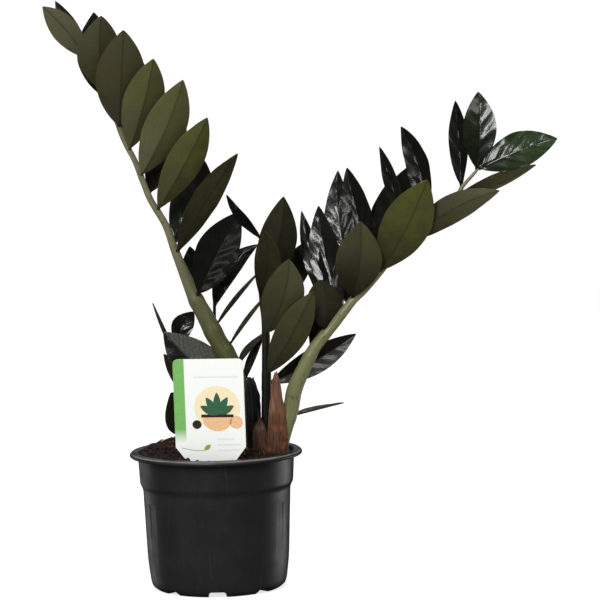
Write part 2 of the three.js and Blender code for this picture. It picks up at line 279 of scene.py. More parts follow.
def smoothstep(low: float, high: float, value: np.ndarray | float) -> np.ndarray:
    """Rises smoothly from 0 at low to 1 at high.

    Args:
        low: where it starts.
        high: where it ends.
        value: where it is read.

    Returns:
        The share risen.
    """
    share = np.clip((np.asarray(value, float) - low) / (high - low), 0.0, 1.0)
    return share * share * (3 - 2 * share)


def ripple(x: np.ndarray, y: np.ndarray, length: float, seed: int, waves: int = 14) -> np.ndarray:
    """An uneven surface made of crossing waves.

    Args:
        x: first coordinate of each place.
        y: second coordinate of each place.
        length: typical distance between two crests.
        seed: picks the waves.
        waves: how many of them.

    Returns:
        A height of about -1 to 1 at each place.
    """
    rng = np.random.default_rng(seed)
    total = np.zeros(np.broadcast(x, y).shape)
    for _ in range(waves):
        angle, phase = rng.uniform(0, FULL_TURN, 2)
        step = FULL_TURN / (length * rng.uniform(0.6, 1.7))
        total = total + np.sin(step * (x * math.cos(angle) + y * math.sin(angle)) + phase)
    return total / math.sqrt(waves)


def attach(piece: bpy.types.Object, node: str, slot: str) -> bpy.types.Object:
    """Makes a piece stand for a node of the frame.

    Args:
        piece: the finished object.
        node: the node that it replaces.
        slot: not used.

    Returns:
        The same object.
    """
    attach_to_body(piece, "root")
    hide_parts(node)
    return piece


# ------------------------------------------------------------------------------------------------ finishes


@dataclass(frozen=True)
class Finish:
    """What every finish has: a name and one physically based shader."""

    name: str

    def material(self) -> bpy.types.Material:
        """Makes the material.

        Returns:
            The material, with its shader fed.
        """
        material = bpy.data.materials.new(self.name)
        material.use_nodes = True
        tree = material.node_tree
        feed(tree.nodes["Principled BSDF"], self.draw(partial(add_node, tree)))
        return material

    def draw(self, add: Adder) -> Inputs:
        """Draws the finish.

        Args:
            add: add_node for the tree of its material.

        Returns:
            What the inputs of its shader get.
        """
        raise NotImplementedError


@dataclass(frozen=True)
class LeafSkin(Finish):
    """The skin of a leaflet: a midrib, side veins that leave it at about 45 degrees and a mesh of small veins."""

    vein_mm: float = 4.8  # the real side veins are 3 to 5 mm apart
    mesh_mm: float = 2.4  # the real mesh is nearer 1 mm, too fine to show
    wander_mm: float = 7.0  # how far the side veins stray from a straight run

    def veins(self, add: Adder) -> tuple[Socket, ...]:
        """Draws the veins.

        Args:
            add: add_node for the tree that they are drawn in.

        Returns:
            Masks of the midrib, of the side veins, of the vein mesh, and a soft swell between side veins.
        """
        place = add("UVMap", uv_map="mm")
        off = add("Math", {0: add("SeparateXYZ", {0: place}, 1)}, operation="ABSOLUTE")
        bend = add("Math", {0: off, 1: VEIN_BEND}, operation="POWER")
        slant = add("Math", {0: bend, 1: -VEIN_SLANT, 2: add("SeparateXYZ", {0: place})}, operation="MULTIPLY_ADD")
        wander = add("TexNoise", {"Vector": place, "Scale": 0.16, "Detail": 2.0})
        swerve = add("Math", {0: wander, 1: self.wander_mm, 2: slant}, operation="MULTIPLY_ADD")
        phase = add("Math", {0: swerve, 1: FULL_TURN / self.vein_mm}, operation="MULTIPLY")
        wave = add("Math", {0: phase}, operation="SINE")
        side = add("MapRange", {0: wave, 1: 0.62, 2: 0.98}, interpolation_type="SMOOTHSTEP")
        midrib = add("MapRange", {0: off, 1: 0.25, 2: 0.95, 3: 1.0, 4: 0.0}, interpolation_type="SMOOTHSTEP")
        cells = add("TexVoronoi", {"Vector": place, "Scale": 1 / self.mesh_mm}, feature="DISTANCE_TO_EDGE")
        return midrib, side, add("MapRange", {0: cells, 1: 0.0, 2: 0.16, 3: 1.0, 4: 0.0}), wave


@dataclass(frozen=True)
class WaxyLeafTop(LeafSkin):
    """The upper face: nearly black, under a thick smooth layer of wax.

    The wax gives sharp white streaks where a lamp is mirrored, broken up by the sunken veins.
    """

    name: str = "waxy_leaf_top"
    stops: Stops = ((0.0, "#10120d"), (0.5, "#181a14"), (1.0, "#55554e"))  # the last is a painted grey sheen: the reflection of the pale surroundings, painted into the colour
    fresh: str = "#2c4018"
    vein: str = "#0b0c08"
    roughness: float = 0.3
    wax_roughness: float = 0.15

    def draw(self, add: Adder) -> Inputs:
        """Draws the finish.

        Args:
            add: as for Finish.

        Returns:
            What the inputs of its shader get.
        """
        midrib, side, mesh, _ = self.veins(add)
        body = set_stops(add("ValToRGB", {0: add("Attribute", output="Fac", attribute_name="tone")}), self.stops)
        green = add("Attribute", output="Fac", attribute_name="green")
        lit = add("Mix", {0: green, 6: body, 7: linear(self.fresh)}, 2, data_type="RGBA")
        lines = add("Math", {0: midrib, 1: side}, operation="MAXIMUM")
        net = add("Math", {0: lines, 1: mesh}, operation="MAXIMUM")
        share = add("Math", {0: net, 1: 0.45}, operation="MULTIPLY")
        veined = add("Mix", {0: share, 6: lit, 7: linear(self.vein)}, 2, data_type="RGBA")
        dust = add("TexNoise", {"Vector": add("TexCoord", output="Object"), "Scale": 90.0, "Detail": 4.0})
        rough = add("MapRange", {0: dust, 1: 0.35, 2: 0.75, 3: self.roughness, 4: self.roughness + 0.16})
        shallow = add("Math", {0: mesh, 1: 0.2}, operation="MULTIPLY")
        sunk = add("Math", {0: side, 1: 0.5, 2: shallow}, operation="MULTIPLY_ADD")
        relief = add("Math", {0: midrib, 1: 1.4, 2: sunk}, operation="MULTIPLY_ADD")
        bump = add("Bump", {"Strength": 0.7, "Distance": -0.05 * MM, "Height": relief})
        return {"Base Color": veined, "Roughness": rough, "IOR": 1.47, "Specular IOR Level": 0.15, "Normal": bump,
                "Coat Weight": 0.88, "Coat Roughness": self.wax_roughness, "Coat IOR": 1.45, "Coat Normal": bump}


@dataclass(frozen=True)
class MattLeafUnderside(LeafSkin):
    """The lower face: dull olive brown with a dark midrib and raised veins.

    It has little wax, so it shows its colour evenly. Where light comes through the blade it is painted greener, in
    blotches: a painted glow, beside the real scattering under the skin.
    """

    name: str = "matt_leaf_underside"
    stops: Stops = ((0.0, "#0f0f0b"), (0.4, "#302e21"), (0.7, "#45422e"), (1.0, "#605e49"))
    # The green colour of the painted glow of light through the blade.
    fresh: str = "#565a26"
    rib: str = "#222114"
    roughness: float = 0.52

    def draw(self, add: Adder) -> Inputs:
        """Draws the finish.

        Args:
            add: as for Finish.

        Returns:
            What the inputs of its shader get.
        """
        midrib, side, mesh, wave = self.veins(add)
        body = set_stops(add("ValToRGB", {0: add("Attribute", output="Fac", attribute_name="tone")}), self.stops)
        blotch = add("TexNoise", {"Vector": add("UVMap", uv_map="mm"), "Scale": 0.09, "Detail": 3.0})
        patch = add("MapRange", {0: blotch, 1: 0.3, 2: 0.7, 3: 0.35, 4: 1.25})
        # Painted glow: the green of light shining through the blade, in blotches, as far as the green attribute asks.
        green = add("Attribute", output="Fac", attribute_name="green")
        glow = add("Math", {0: patch, 1: green}, operation="MULTIPLY", use_clamp=True)
        lit = add("Mix", {0: glow, 6: body, 7: linear(self.fresh)}, 2, data_type="RGBA")
        fine = add("Math", {0: side, 1: mesh}, operation="MAXIMUM")
        faint = add("Math", {0: fine, 1: 0.09}, operation="MULTIPLY")
        netted = add("Mix", {0: faint, 6: lit, 7: linear(self.rib)}, 2, data_type="RGBA")
        share = add("Math", {0: midrib, 1: 0.42}, operation="MULTIPLY")
        veined = add("Mix", {0: share, 6: netted, 7: linear(self.rib)}, 2, data_type="RGBA")
        rough = add("MapRange", {0: blotch, 1: 0.3, 2: 0.7, 3: self.roughness - 0.05, 4: self.roughness + 0.12})
        relief = add("Math", {0: wave, 1: 0.6, 2: fine}, operation="MULTIPLY_ADD")
        bump = add("Bump", {"Strength": 0.6, "Distance": 0.04 * MM, "Height": relief})
        return {"Base Color": veined, "Roughness": rough, "IOR": 1.4, "Specular IOR Level": 0.12, "Normal": bump,
                "Subsurface Weight": 1.0, "Subsurface Radius": (0.9, 1.0, 0.4), "Subsurface Scale": 0.6 * MM}


@dataclass(frozen=True)
class FleshyStem(Finish):
    """The succulent stem: a taut skin with small dark dashes and faint lengthwise lines.

    The skin is slightly waxy, so a soft light line runs down the lit side.
    """

    name: str
    skin: str = "#545734"
    shade: str = "#464929"
    fleck: str = "#343820"
    upper: str = "#716d55"  # colour that the skin takes above the crook
    upper_from_mm: float = 115.0
    upper_to_mm: float = 190.0
    roughness: float = 0.3

    def draw(self, add: Adder) -> Inputs:
        """Draws the finish.

        Args:
            add: as for Finish.

        Returns:
            What the inputs of its shader get.
        """
        place = add("UVMap", uv_map="mm")
        # Flecks of about 1 by 3 mm, along the stem; the lengthwise lines are 1.5 mm apart.
        long = add("Mapping", {"Vector": place, "Scale": (0.33, 1.0, 1.0)})
        cells = add("TexVoronoi", {"Vector": long, "Scale": 0.75})
        dot = add("MapRange", {0: cells, 1: 0.16, 2: 0.4, 3: 0.75, 4: 0.0})
        thin = add("TexNoise", {"Vector": place, "Scale": 0.12, "Detail": 3.0})
        flecks = add("Math", {0: dot, 1: add("MapRange", {0: thin, 1: 0.42, 2: 0.62})}, operation="MULTIPLY")
        stretched = add("Mapping", {"Vector": place, "Scale": (0.02, 0.66, 1.0)})
        lines = add("TexNoise", {"Vector": stretched, "Scale": 1.0, "Detail": 3.0})
        streak = add("MapRange", {0: lines, 1: 0.32, 2: 0.68})
        body = add("Mix", {0: streak, 6: linear(self.shade), 7: linear(self.skin)}, 2, data_type="RGBA")
        run = add("SeparateXYZ", {0: place})
        height = add("MapRange", {0: run, 1: self.upper_from_mm, 2: self.upper_to_mm})
        by_height = add("Mix", {0: height, 6: body, 7: linear(self.upper)}, 2, data_type="RGBA")
        marked = add("Mix", {0: flecks, 6: by_height, 7: linear(self.fleck)}, 2, data_type="RGBA")
        bump = add("Bump", {"Strength": 0.5, "Distance": 0.06 * MM, "Height": lines})
        return {"Base Color": marked, "Roughness": self.roughness, "IOR": 1.42, "Normal": bump}


@dataclass(frozen=True)
class DriedSheath(Finish):
    """A leaf sheath that has dried to brown paper, with fibres along it.

    The fibres give a silky sheen across and dark and light strands along the sheath. Lighter blotches are partly its
    own marks and partly painted highlights of its gloss.
    """

    name: str
    stops: Stops
    patch: str
    low_mm: float
    high_mm: float
    roughness: float = 0.5
    fray_mm: float = 9.0  # how far the strands carry the colours up and down

    def draw(self, add: Adder) -> Inputs:
        """Draws the finish.

        Args:
            add: as for Finish.

        Returns:
            What the inputs of its shader get.
        """
        place = add("UVMap", uv_map="mm")
        # Strands of about 0.8 mm; the real fibres are nearer 0.3 mm, too fine to show.
        stretched = add("Mapping", {"Vector": place, "Scale": (1.3, 0.09, 1.0)})
        strand = add("TexNoise", {"Vector": stretched, "Scale": 1.0, "Detail": 4.0})
        height = add("SeparateXYZ", {0: place}, 1)
        shift = add("Math", {0: strand, 1: self.fray_mm, 2: height}, operation="MULTIPLY_ADD")
        low, high = self.low_mm + self.fray_mm / 2, self.high_mm + self.fray_mm / 2
        body = set_stops(add("ValToRGB", {0: add("MapRange", {0: shift, 1: low, 2: high})}), self.stops)
        # Lighter blotches: partly the sheath's own marks, partly painted highlights.
        blot = add("TexNoise", {"Vector": place, "Scale": 0.14, "Detail": 4.0})
        spot = add("MapRange", {0: blot, 1: 0.54, 2: 0.66, 4: 0.85})
        mixed = add("Mix", {0: spot, 6: body, 7: linear(self.patch)}, 2, data_type="RGBA")
        dark = add("MapRange", {0: strand, 1: 0.3, 2: 0.62, 3: 0.45, 4: 1.15})
        shaded = add("Mix", {0: 1.0, 6: mixed, 7: dark}, 2, data_type="RGBA", blend_type="MULTIPLY")
        bump = add("Bump", {"Strength": 0.8, "Distance": 0.3 * MM, "Height": strand})
        return {"Base Color": shaded, "Roughness": self.roughness, "IOR": 1.45, "Normal": bump}


@dataclass(frozen=True)
class DampPeat(Finish):
    """Moist peat: dark red-brown crumbs with lighter bark and root fibres.

    Every crumb has its own tone, and the damp surface has only a weak, broad shine.
    """

    name: str = "damp_peat"
    stops: Stops = ((0.0, "#120a07"), (0.45, "#28150e"), (0.78, "#442417"), (0.93, "#74492f"), (1.0, "#b39a80"))
    roughness: float = 0.85

    def draw(self, add: Adder) -> Inputs:
        """Draws the finish.

        Args:
            add: as for Finish.

        Returns:
            What the inputs of its shader get.
        """
        # Grains of about 1 mm inside each crumb.
        grain = add("TexNoise", {"Vector": add("TexCoord", output="Object"), "Scale": 900.0, "Detail": 3.0})
        shift = add("Math", {0: grain, 1: 0.3, 2: -0.15}, operation="MULTIPLY_ADD")
        tone = add("Attribute", output="Fac", attribute_name="tone")
        share = add("Math", {0: tone, 1: shift}, operation="ADD", use_clamp=True)
        bump = add("Bump", {"Strength": 0.9, "Distance": 0.4 * MM, "Height": grain})
        colour = set_stops(add("ValToRGB", {0: share}), self.stops)
        return {"Base Color": colour, "Roughness": self.roughness, "Normal": bump}


@dataclass(frozen=True)
class MouldedPolypropylene(Finish):
    """Recycled black polypropylene, moulded in a finely blasted tool.

    The blasted grain makes the shine broad and soft; handling leaves fine upright scuffs. The outer edge of the lip is
    drawn paler: a painted highlight along the rim.
    """

    name: str = "moulded_polypropylene"
    body: str = "#232222"
    dust: str = "#4a4845"
    painted_lip_highlight: str = "#9b9995"
    lip_highlight_height_mm: tuple[float, float] = (94.6, 95.5)  # where the painted highlight along the rim starts and where it is full
    lip_highlight_radius_mm: tuple[float, float] = (58.2, 59.2)
    roughness: float = 0.36

    def draw(self, add: Adder) -> Inputs:
        """Draws the finish.

        Args:
            add: as for Finish.

        Returns:
            What the inputs of its shader get.
        """
        where = add("TexCoord", output="Object")
        cloud = add("TexNoise", {"Vector": where, "Scale": 55.0, "Detail": 5.0})
        settled = add("MapRange", {0: cloud, 1: 0.55, 2: 0.85, 4: 0.06})
        # Scuffs 1 to 2 mm wide and some centimetres long, upright as the pot slides out of its stack.
        tall = add("Mapping", {"Vector": where, "Scale": (1.0, 1.0, 0.06)})
        scuff = add("TexNoise", {"Vector": tall, "Scale": 420.0, "Detail": 4.0})
        worn = add("MapRange", {0: scuff, 1: 0.6, 2: 0.78, 4: 0.2})
        marks = add("Math", {0: settled, 1: worn}, operation="MAXIMUM")
        flat = add("Mapping", {"Vector": where, "Scale": (1.0, 1.0, 0.0)})
        out = add("VectorMath", {0: flat}, "Value", operation="LENGTH")
        # Painted highlight: a pale band round the outer edge of the lip, patchy with the cloud.
        limits = ((add("SeparateXYZ", {0: where}, 2), self.lip_highlight_height_mm), (out, self.lip_highlight_radius_mm))
        edges = [add("MapRange", {0: value, 1: low * MM, 2: high * MM}) for value, (low, high) in limits]
        lip_highlight_band = add("Math", {0: edges[0], 1: edges[1]}, operation="MULTIPLY")
        patchy = add("MapRange", {0: cloud, 1: 0.35, 2: 0.6, 3: 0.45})
        rim = add("Math", {0: lip_highlight_band, 1: patchy}, operation="MULTIPLY")
        mixed = add("Mix", {0: marks, 6: linear(self.body), 7: linear(self.dust)}, 2, data_type="RGBA")
        lip_highlighted = add("Mix", {0: rim, 6: mixed, 7: linear(self.painted_lip_highlight)}, 2, data_type="RGBA")
        rough = add("MapRange", {0: cloud, 1: 0.3, 2: 0.75, 3: self.roughness - 0.04, 4: self.roughness + 0.16})
        # The blasted grain is 0.1 mm across; it is drawn at 0.6 mm so that it shows.
        grain = add("TexNoise", {"Vector": where, "Scale": 1600.0, "Detail": 2.0})
        bump = add("Bump", {"Strength": 0.35, "Distance": 0.08 * MM, "Height": grain})
        return {"Base Color": lip_highlighted, "Roughness": rough, "IOR": 1.49, "Normal": bump}


@dataclass(frozen=True)
class PrintedCard(Finish):
    """White polypropylene sheet, offset printed on its face.

    The sheet has a smooth satin skin. Where ink lies on it, fine dots make the colour slightly uneven.
    """

    name: str = "printed_card"
    ink: str = "#f7f8f4"
    second: str = "#f2f4ef"
    fade_from_mm: float = -1.0
    fade_to_mm: float = 0.0
    sheet: str = "#f7f8f3"
    roughness: float = 0.32

    def draw(self, add: Adder) -> Inputs:
        """Draws the finish.

        Args:
            add: as for Finish.

        Returns:
            What the inputs of its shader get.
        """
        place = add("UVMap", uv_map="mm")
        # The printing screen has 0.15 mm dots; they are drawn as 1.2 mm clouds so that they show.
        dots = add("TexNoise", {"Vector": place, "Scale": 0.8, "Detail": 3.0})
        mottle = add("MapRange", {0: dots, 1: 0.3, 2: 0.7})
        body = add("Mix", {0: mottle, 6: linear(self.ink), 7: linear(self.second)}, 2, data_type="RGBA")
        height = add("SeparateXYZ", {0: place}, 1)
        fade = add("MapRange", {0: height, 1: self.fade_from_mm, 2: self.fade_to_mm})
        faded = add("Mix", {0: fade, 6: linear(self.sheet), 7: body}, 2, data_type="RGBA")
        bump = add("Bump", {"Strength": 0.2, "Distance": 0.05 * MM, "Height": dots})
        return {"Base Color": faded, "Roughness": self.roughness, "IOR": 1.49, "Normal": bump}


@dataclass(frozen=True)
class TuberSkin(Finish):
    """The corky skin of the tuber, with growth rings about 3 mm apart and clinging peat.

    It is dull all over, ochre on the ridges and dark in the rings between them.
    """

    name: str = "tuber_skin"
    cork: str = "#9a7a55"
    ring: str = "#5b4029"
    roughness: float = 0.85

    def draw(self, add: Adder) -> Inputs:
        """Draws the finish.

        Args:
            add: as for Finish.

        Returns:
            What the inputs of its shader get.
        """
        shape = {"Vector": add("TexCoord", output="Object"), "Scale": 100.0, "Distortion": 3.0, "Detail": 3.0}
        rings = add("TexWave", shape, "Fac", bands_direction="Z")
        mixed = add("Mix", {0: rings, 6: linear(self.ring), 7: linear(self.cork)}, 2, data_type="RGBA")
        bump = add("Bump", {"Strength": 0.8, "Distance": 0.4 * MM, "Height": rings})
        return {"Base Color": mixed, "Roughness": self.roughness, "Normal": bump}


@dataclass(frozen=True)
class OpalTable(Finish):
    """Matt opal acrylic that is lit from below, the floor and the wall of the studio.

    Its own even glow keeps it pale.
    """

    name: str = "opal_table"
    white: str = "#bfbfbe"
    cloudy: str = "#b9b9b8"
    glow: float = 0.74
    roughness: float = 0.9

    def draw(self, add: Adder) -> Inputs:
        """Draws the finish.

        Args:
            add: as for Finish.

        Returns:
            What the inputs of its shader get.
        """
        cloud = add("TexNoise", {"Vector": add("TexCoord", output="Object"), "Scale": 3.0, "Detail": 2.0})
        mixed = add("Mix", {0: cloud, 6: linear(self.white), 7: linear(self.cloudy)}, 2, data_type="RGBA")
        return {"Base Color": mixed, "Roughness": self.roughness, "Emission Color": (1.0, 1.0, 1.0, 1.0),
                "Emission Strength": self.glow}


# ------------------------------------------------------------------------------------------------ fronds


@dataclass
class StemLine:
    """The middle line of a stem: a centripetal spline through rows of x, y, z and radius."""

    rows: Sequence[tuple[float, float, float, float]]

    def __post_init__(self) -> None:
        """Splits the rows into points and radii."""
        table = np.array(self.rows, float)
        self.points, self.radii = table[:, :3], table[:, 3]

    def point(self, share: float) -> np.ndarray:
        """Reads a point of the line.

        Args:
            share: how far along the control points, from 0 to 1.

        Returns:
            The point, in millimetres.
        """
        points, last = self.points, len(self.points) - 1
        at = min(max(share, 0.0), 1.0) * last
        i = min(int(at), last - 1)
        weight = at - i
        before = points[i - 1] if i > 0 else 2 * points[0] - points[1]
        after = points[i + 2] if i + 2 <= last else 2 * points[last] - points[last - 1]
        a, b = points[i], points[i + 1]
        spans = [float(((q - p) @ (q - p)) ** 0.25) for p, q in ((before, a), (a, b), (b, after))]
        first = ((a - before) / spans[0] - (b - before) / (spans[0] + spans[1]) + (b - a) / spans[1]) * spans[1]
        second = ((b - a) / spans[1] - (after - a) / (spans[1] + spans[2]) + (after - b) / spans[2]) * spans[1]
        return (a + first * weight + (3 * (b - a) - 2 * first - second) * weight ** 2
                + (2 * (a - b) + first + second) * weight ** 3)

    def direction(self, share: float) -> np.ndarray:
        """Returns the unit vector along the line at that share."""
        step = self.point(min(share + 1e-3, 1.0)) - self.point(max(share - 1e-3, 0.0))
        return step / np.linalg.norm(step)

    def radius(self, share: float) -> float:
        """Returns the stem's radius at that share."""
        return float(np.interp(share * (len(self.radii) - 1), range(len(self.radii)), self.radii))

    def share_at(self, height: float) -> float:
        """Finds a height on the rising stem.

        Args:
            height: the height, in millimetres.

        Returns:
            The share at which the stem passes it.
        """
        low, high = 0.0, 1.0
        for _ in range(30):
            middle = (low + high) / 2
            low, high = (middle, high) if self.point(middle)[2] < height else (low, middle)
        return (low + high) / 2


@dataclass
class Leaflet:
    """One leaflet, in millimetres and degrees."""

    height: float  # where its stalk leaves the stem
    side: int  # -1 at the front of the stem, 1 at its back
    x: float
    y: float
    z: float  # its tip
    width: float
    turn: float  # about its midrib; 0 faces the front
    bow: float  # sideways curve of the midrib
    arch: float = 0.0  # curve of the midrib to the front
    reach: float = 0.6  # stalk outside the stem
    sway: float = 0.0  # the base moved along X
    shows: Shows = Shows.TOP
    green: float = 0.0  # how far the green tint shows in it: fresh green on a top face, a painted glow of light through the blade on an underside
    tone: float = 0.4  # how light it is among its like: partly its own tone, partly painted light and shade; on a top a high tone is a painted grey sheen
    cup: float | None = None  # how far its middle stands to the front; left to chance if None
    painted_half_light: float = 0.0  # painted light: how much lighter its right half is drawn than its left, seen with the tip up


@dataclass
class Spine:
    """The middle line of a leaflet, with what stands across it at each of its points."""

    share: np.ndarray  # how far along the blade, 0 all along the stalk
    free: np.ndarray  # whether the point is past the stalk
    length: float  # of the blade
    centre: np.ndarray
    across: np.ndarray  # towards one margin
    front: np.ndarray  # out of the face that is turned to the front
    frontal: float  # how much the face is turned to the front, from 0 to 1
    recurve: np.ndarray  # how far the tip bends back


@dataclass
class Frond:
    """A frond: one stem and its leaflets, grown as one piece."""

    node: str
    stem: Sequence[tuple[float, float, float, float]]
    under: Sequence[tuple[float, ...]]
    upper: Sequence[tuple[float, ...]]
    skin: FleshyStem
    # By number of the row, what it changes in its leaflet: green (fresh green on tops, a painted glow of light through
    # undersides), tone (partly its own, partly painted light and shade, on tops a painted grey sheen), cup, and the
    # painted light of one half.
    painted_glow_under: dict[int, float] = field(default_factory=dict)
    fresh_upper: dict[int, float] = field(default_factory=dict)
    tone_and_shading_under: dict[int, float] = field(default_factory=dict)
    painted_sheen_upper: dict[int, float] = field(default_factory=dict)
    cup_upper: dict[int, float] = field(default_factory=dict)
    painted_half_light_under: dict[int, float] = field(default_factory=dict)
    painted_half_light_upper: dict[int, float] = field(default_factory=dict)
    fade: float = 0.2  # painted shade: how much darker the undersides are drawn at their foot
    seed: int = 1
    fold: float = 12.0  # degrees that each half rises from the midrib
    blade: float = 0.8  # thickness at the midrib
    widest: float = 0.5  # share of the blade at which it is widest
    stalk: float = 1.25  # half width of a leaflet's stalk

    COLUMNS = (-1, -.96, -.86, -.72, -.56, -.4, -.26, -.15, -.07, 0, .07, .15, .26, .4, .56, .72, .86, .96, 1)
    TWIST = (-6, 6)  # degrees from base to tip
    CAMBER = (-1.6, 1.2)  # mm that a blade's middle stands to the front by chance
    RECURVE = (0.4, 1.6)  # mm that a tip bends back
    WAVE = (0.12, 0.3)  # mm that a margin waves
    WAVE_RUN = (14, 34)  # mm from crest to crest
    SWELLS = ((13.0, 0.3), (7.5, 0.16), (4.5, 0.06))  # mm apart and mm high: ridges between the side veins

    def outline(self, share: np.ndarray) -> np.ndarray:
        """Share of the full width along a blade.

        Args:
            share: how far along the blade.

        Returns:
            Round at the base, 1 at the widest place, drawn out to a point.
        """
        quarter = math.pi / 2
        lower = np.sin(quarter * np.clip(share / self.widest, 0, 1)) ** 0.72
        upper = np.cos(quarter * np.clip((share - self.widest) / (1 - self.widest), 0, 1)) ** 0.85
        return np.where(share < self.widest, lower, upper)

    def stem_skin(self, sketch: Sketch, line: StemLine, heights: Sequence[float], detail: Detail) -> None:
        """Adds the stem, slightly swollen where leaflets leave it.

        Args:
            sketch: the mesh that it goes into.
            line: the stem's middle line.
            heights: where leaflets leave the stem.
            detail: how finely it is cut.
        """
        count, sides = detail.steps(16 * len(line.rows)), detail.steps(36)
        angles = np.linspace(0, FULL_TURN, sides, endpoint=False)
        rings, places, run, last = [], [], 0.0, None
        nodes = np.array([line.point(line.share_at(h))[2] for h in heights])
        for share in np.linspace(0, 1, count):
            point, along = line.point(share), line.direction(share)
            run += 0.0 if last is None else float(np.linalg.norm(point - last))
            last = point
            u = np.cross((0.0, 1.0, 0.0), along)
            u /= np.linalg.norm(u)
            v = np.cross(along, u)
            radius = line.radius(share) * (1 + 0.05 * np.exp(-((point[2] - nodes) / 2.5) ** 2).sum().clip(0, 1.4))
            radius *= math.sqrt(max(0.05, 1 - max(0.0, (share - 0.985) / 0.016) ** 2))
            wobble = radius * (1 + 0.012 * np.sin(3 * angles + run / 19))
            rings.append(point + np.outer(wobble * np.cos(angles), u) + np.outer(wobble * np.sin(angles), v))
            places.append(np.column_stack([np.full(sides, run), angles * radius]))
        sketch.rings(np.array(rings), np.array(places), Skin.STEM)

    def leaflets(self) -> list[Leaflet]:
        """Reads the rows of the leaflets.

        Returns:
            The leaflets: first those that show their underside, then the others.
        """
        under = [Leaflet(*row, shows=Shows.UNDERSIDE, green=self.painted_glow_under.get(i, 0.1),
                         tone=self.tone_and_shading_under.get(i, 0.7), painted_half_light=self.painted_half_light_under.get(i, 0.0))
                 for i, row in enumerate(self.under)]
        upper = [Leaflet(*row, green=self.fresh_upper.get(i, 0.0), tone=self.painted_sheen_upper.get(i, 0.4),
                         cup=self.cup_upper.get(i), painted_half_light=self.painted_half_light_upper.get(i, 0.0))
                 for i, row in enumerate(self.upper)]
        return under + upper

    def spine(self, line: StemLine, leaf: Leaflet, rng: np.random.Generator, detail: Detail) -> Spine:
        """Runs a leaflet's middle line out of the stem, along its stalk and its blade.

        Args:
            line: the stem's middle line.
            leaf: the leaflet.
            rng: source of its small irregularities.
            detail: how finely it is cut.

        Returns:
            The line.
        """
        at = line.share_at(leaf.height)
        root, tip, radius = line.point(at), np.array([leaf.x, leaf.y, leaf.z]), line.radius(at)
        to_tip = (tip - root) / np.linalg.norm(tip - root)
        start = root + to_tip * (radius + leaf.reach) + np.array([leaf.sway, leaf.side * (radius + 1.2) * 0.8, 0])
        length = float(np.linalg.norm(tip - start))
        along = (tip - start) / length
        front = np.array([0.0, -1.0, 0.0]) + along * along[1]
        front /= np.linalg.norm(front)
        across = np.cross(along, front)

        blade = 0.5 * (1 - np.cos(math.pi * np.linspace(0, 1, detail.steps(54) + 1)))
        share = np.concatenate([[0.0, 0.0, 0.0], blade])
        inside = np.concatenate([[0.1, 0.45, 0.8], np.ones(len(blade))])  # the stalk's share of the way to its start
        bulge = 4 * share * (1 - share)
        twist = math.radians(rng.uniform(*self.TWIST)) * (share - 0.4)
        angle = -math.radians(leaf.turn) + twist
        w = across * np.cos(angle)[:, None] + np.cross(along, across) * np.sin(angle)[:, None]
        n = front * np.cos(angle)[:, None] + np.cross(along, front) * np.sin(angle)[:, None]
        frontal = abs(math.cos(math.radians(leaf.turn)))
        chance = rng.uniform(*self.CAMBER) * frontal  # drawn for every leaflet, so the later draws stay the same
        camber = chance if leaf.cup is None else leaf.cup
        recurve = rng.uniform(*self.RECURVE) * smoothstep(0.72, 1.0, share) * frontal
        centre = (start + np.outer(share, tip - start) - w * (leaf.bow * bulge)[:, None]
                  + n * ((leaf.arch + camber) * bulge)[:, None])
        centre = np.where((inside < 1)[:, None], root + np.outer(inside, start - root), centre)
        return Spine(share, inside >= 1, length, centre, w, n, frontal, recurve)

    def half_width(self, leaf: Leaflet, spine: Spine) -> np.ndarray:
        """Gives half the width along a leaflet.

        Args:
            leaf: the leaflet.
            spine: its middle line.

        Returns:
            The half width at each of the line's points: the stalk, running into the blade.
        """
        neck = self.stalk * (1 - smoothstep(0.0, 0.35, spine.share))
        return ((leaf.width / 2 * self.outline(spine.share)) ** 3 + neck ** 3) ** (1 / 3) + 0.12

    def faces(self, spine: Spine, half: np.ndarray, rng: np.random.Generator) -> tuple[np.ndarray, np.ndarray]:
        """Shapes both faces of a leaflet: folded and wavy, with a midrib and swells between its side veins.

        Args:
            spine: its middle line.
            half: half its width at each point of the line.
            rng: source of its small irregularities.

        Returns:
            How far the upper and the lower face stand above the line, as point of the line, column.
        """
        t, half = np.array(self.COLUMNS)[None, :], half[:, None]
        s, run = spine.share[:, None], spine.share[:, None] * spine.length
        soft = np.sqrt(t * t + 0.004) - math.sqrt(0.004)
        rise = math.sin(math.radians(self.fold)) * half * (0.6 * soft + 0.4 * t * t)
        waves = sum(rng.uniform(*self.WAVE) * np.sin(run * FULL_TURN / rng.uniform(*self.WAVE_RUN)
                                                    + rng.uniform(0, 6.3) + np.sign(t) * rng.uniform(0.4, 1.6))
                    for _ in range(3))
        lift = rise + waves * t * t * np.sin(math.pi * s) * spine.frontal - spine.recurve[:, None]
        skin = self.blade / 2 * (1 - 0.5 * t * t)
        ridge = np.exp(-(t * half / 0.75) ** 2)
        off = half * np.abs(t)
        slant = run - VEIN_SLANT * off ** VEIN_BEND + 40 * np.sign(t)
        swell = sum(a * np.sin(slant * FULL_TURN / (p * rng.uniform(0.85, 1.2)) + off * rng.uniform(-0.2, 0.2)
                               + rng.uniform(0, 6.3)) for p, a in self.SWELLS)
        swell = swell * smoothstep(0.0, 0.2, np.abs(t)) * (1 - t ** 4) * np.sin(math.pi * s)
        top = lift + skin - 0.3 * ridge * (1 - s) + swell
        bottom = lift - skin - 0.5 * ridge * (1 - s) ** 0.7
        stalk = np.sqrt(np.clip(1 - t * t, 0.0, 1)) * 0.95  # the round stalk, which spreads into the blade
        spread = (smoothstep(0.0, 0.09, spine.share) * spine.free)[:, None]
        return stalk + (top - stalk) * spread, -stalk + (bottom + stalk) * spread

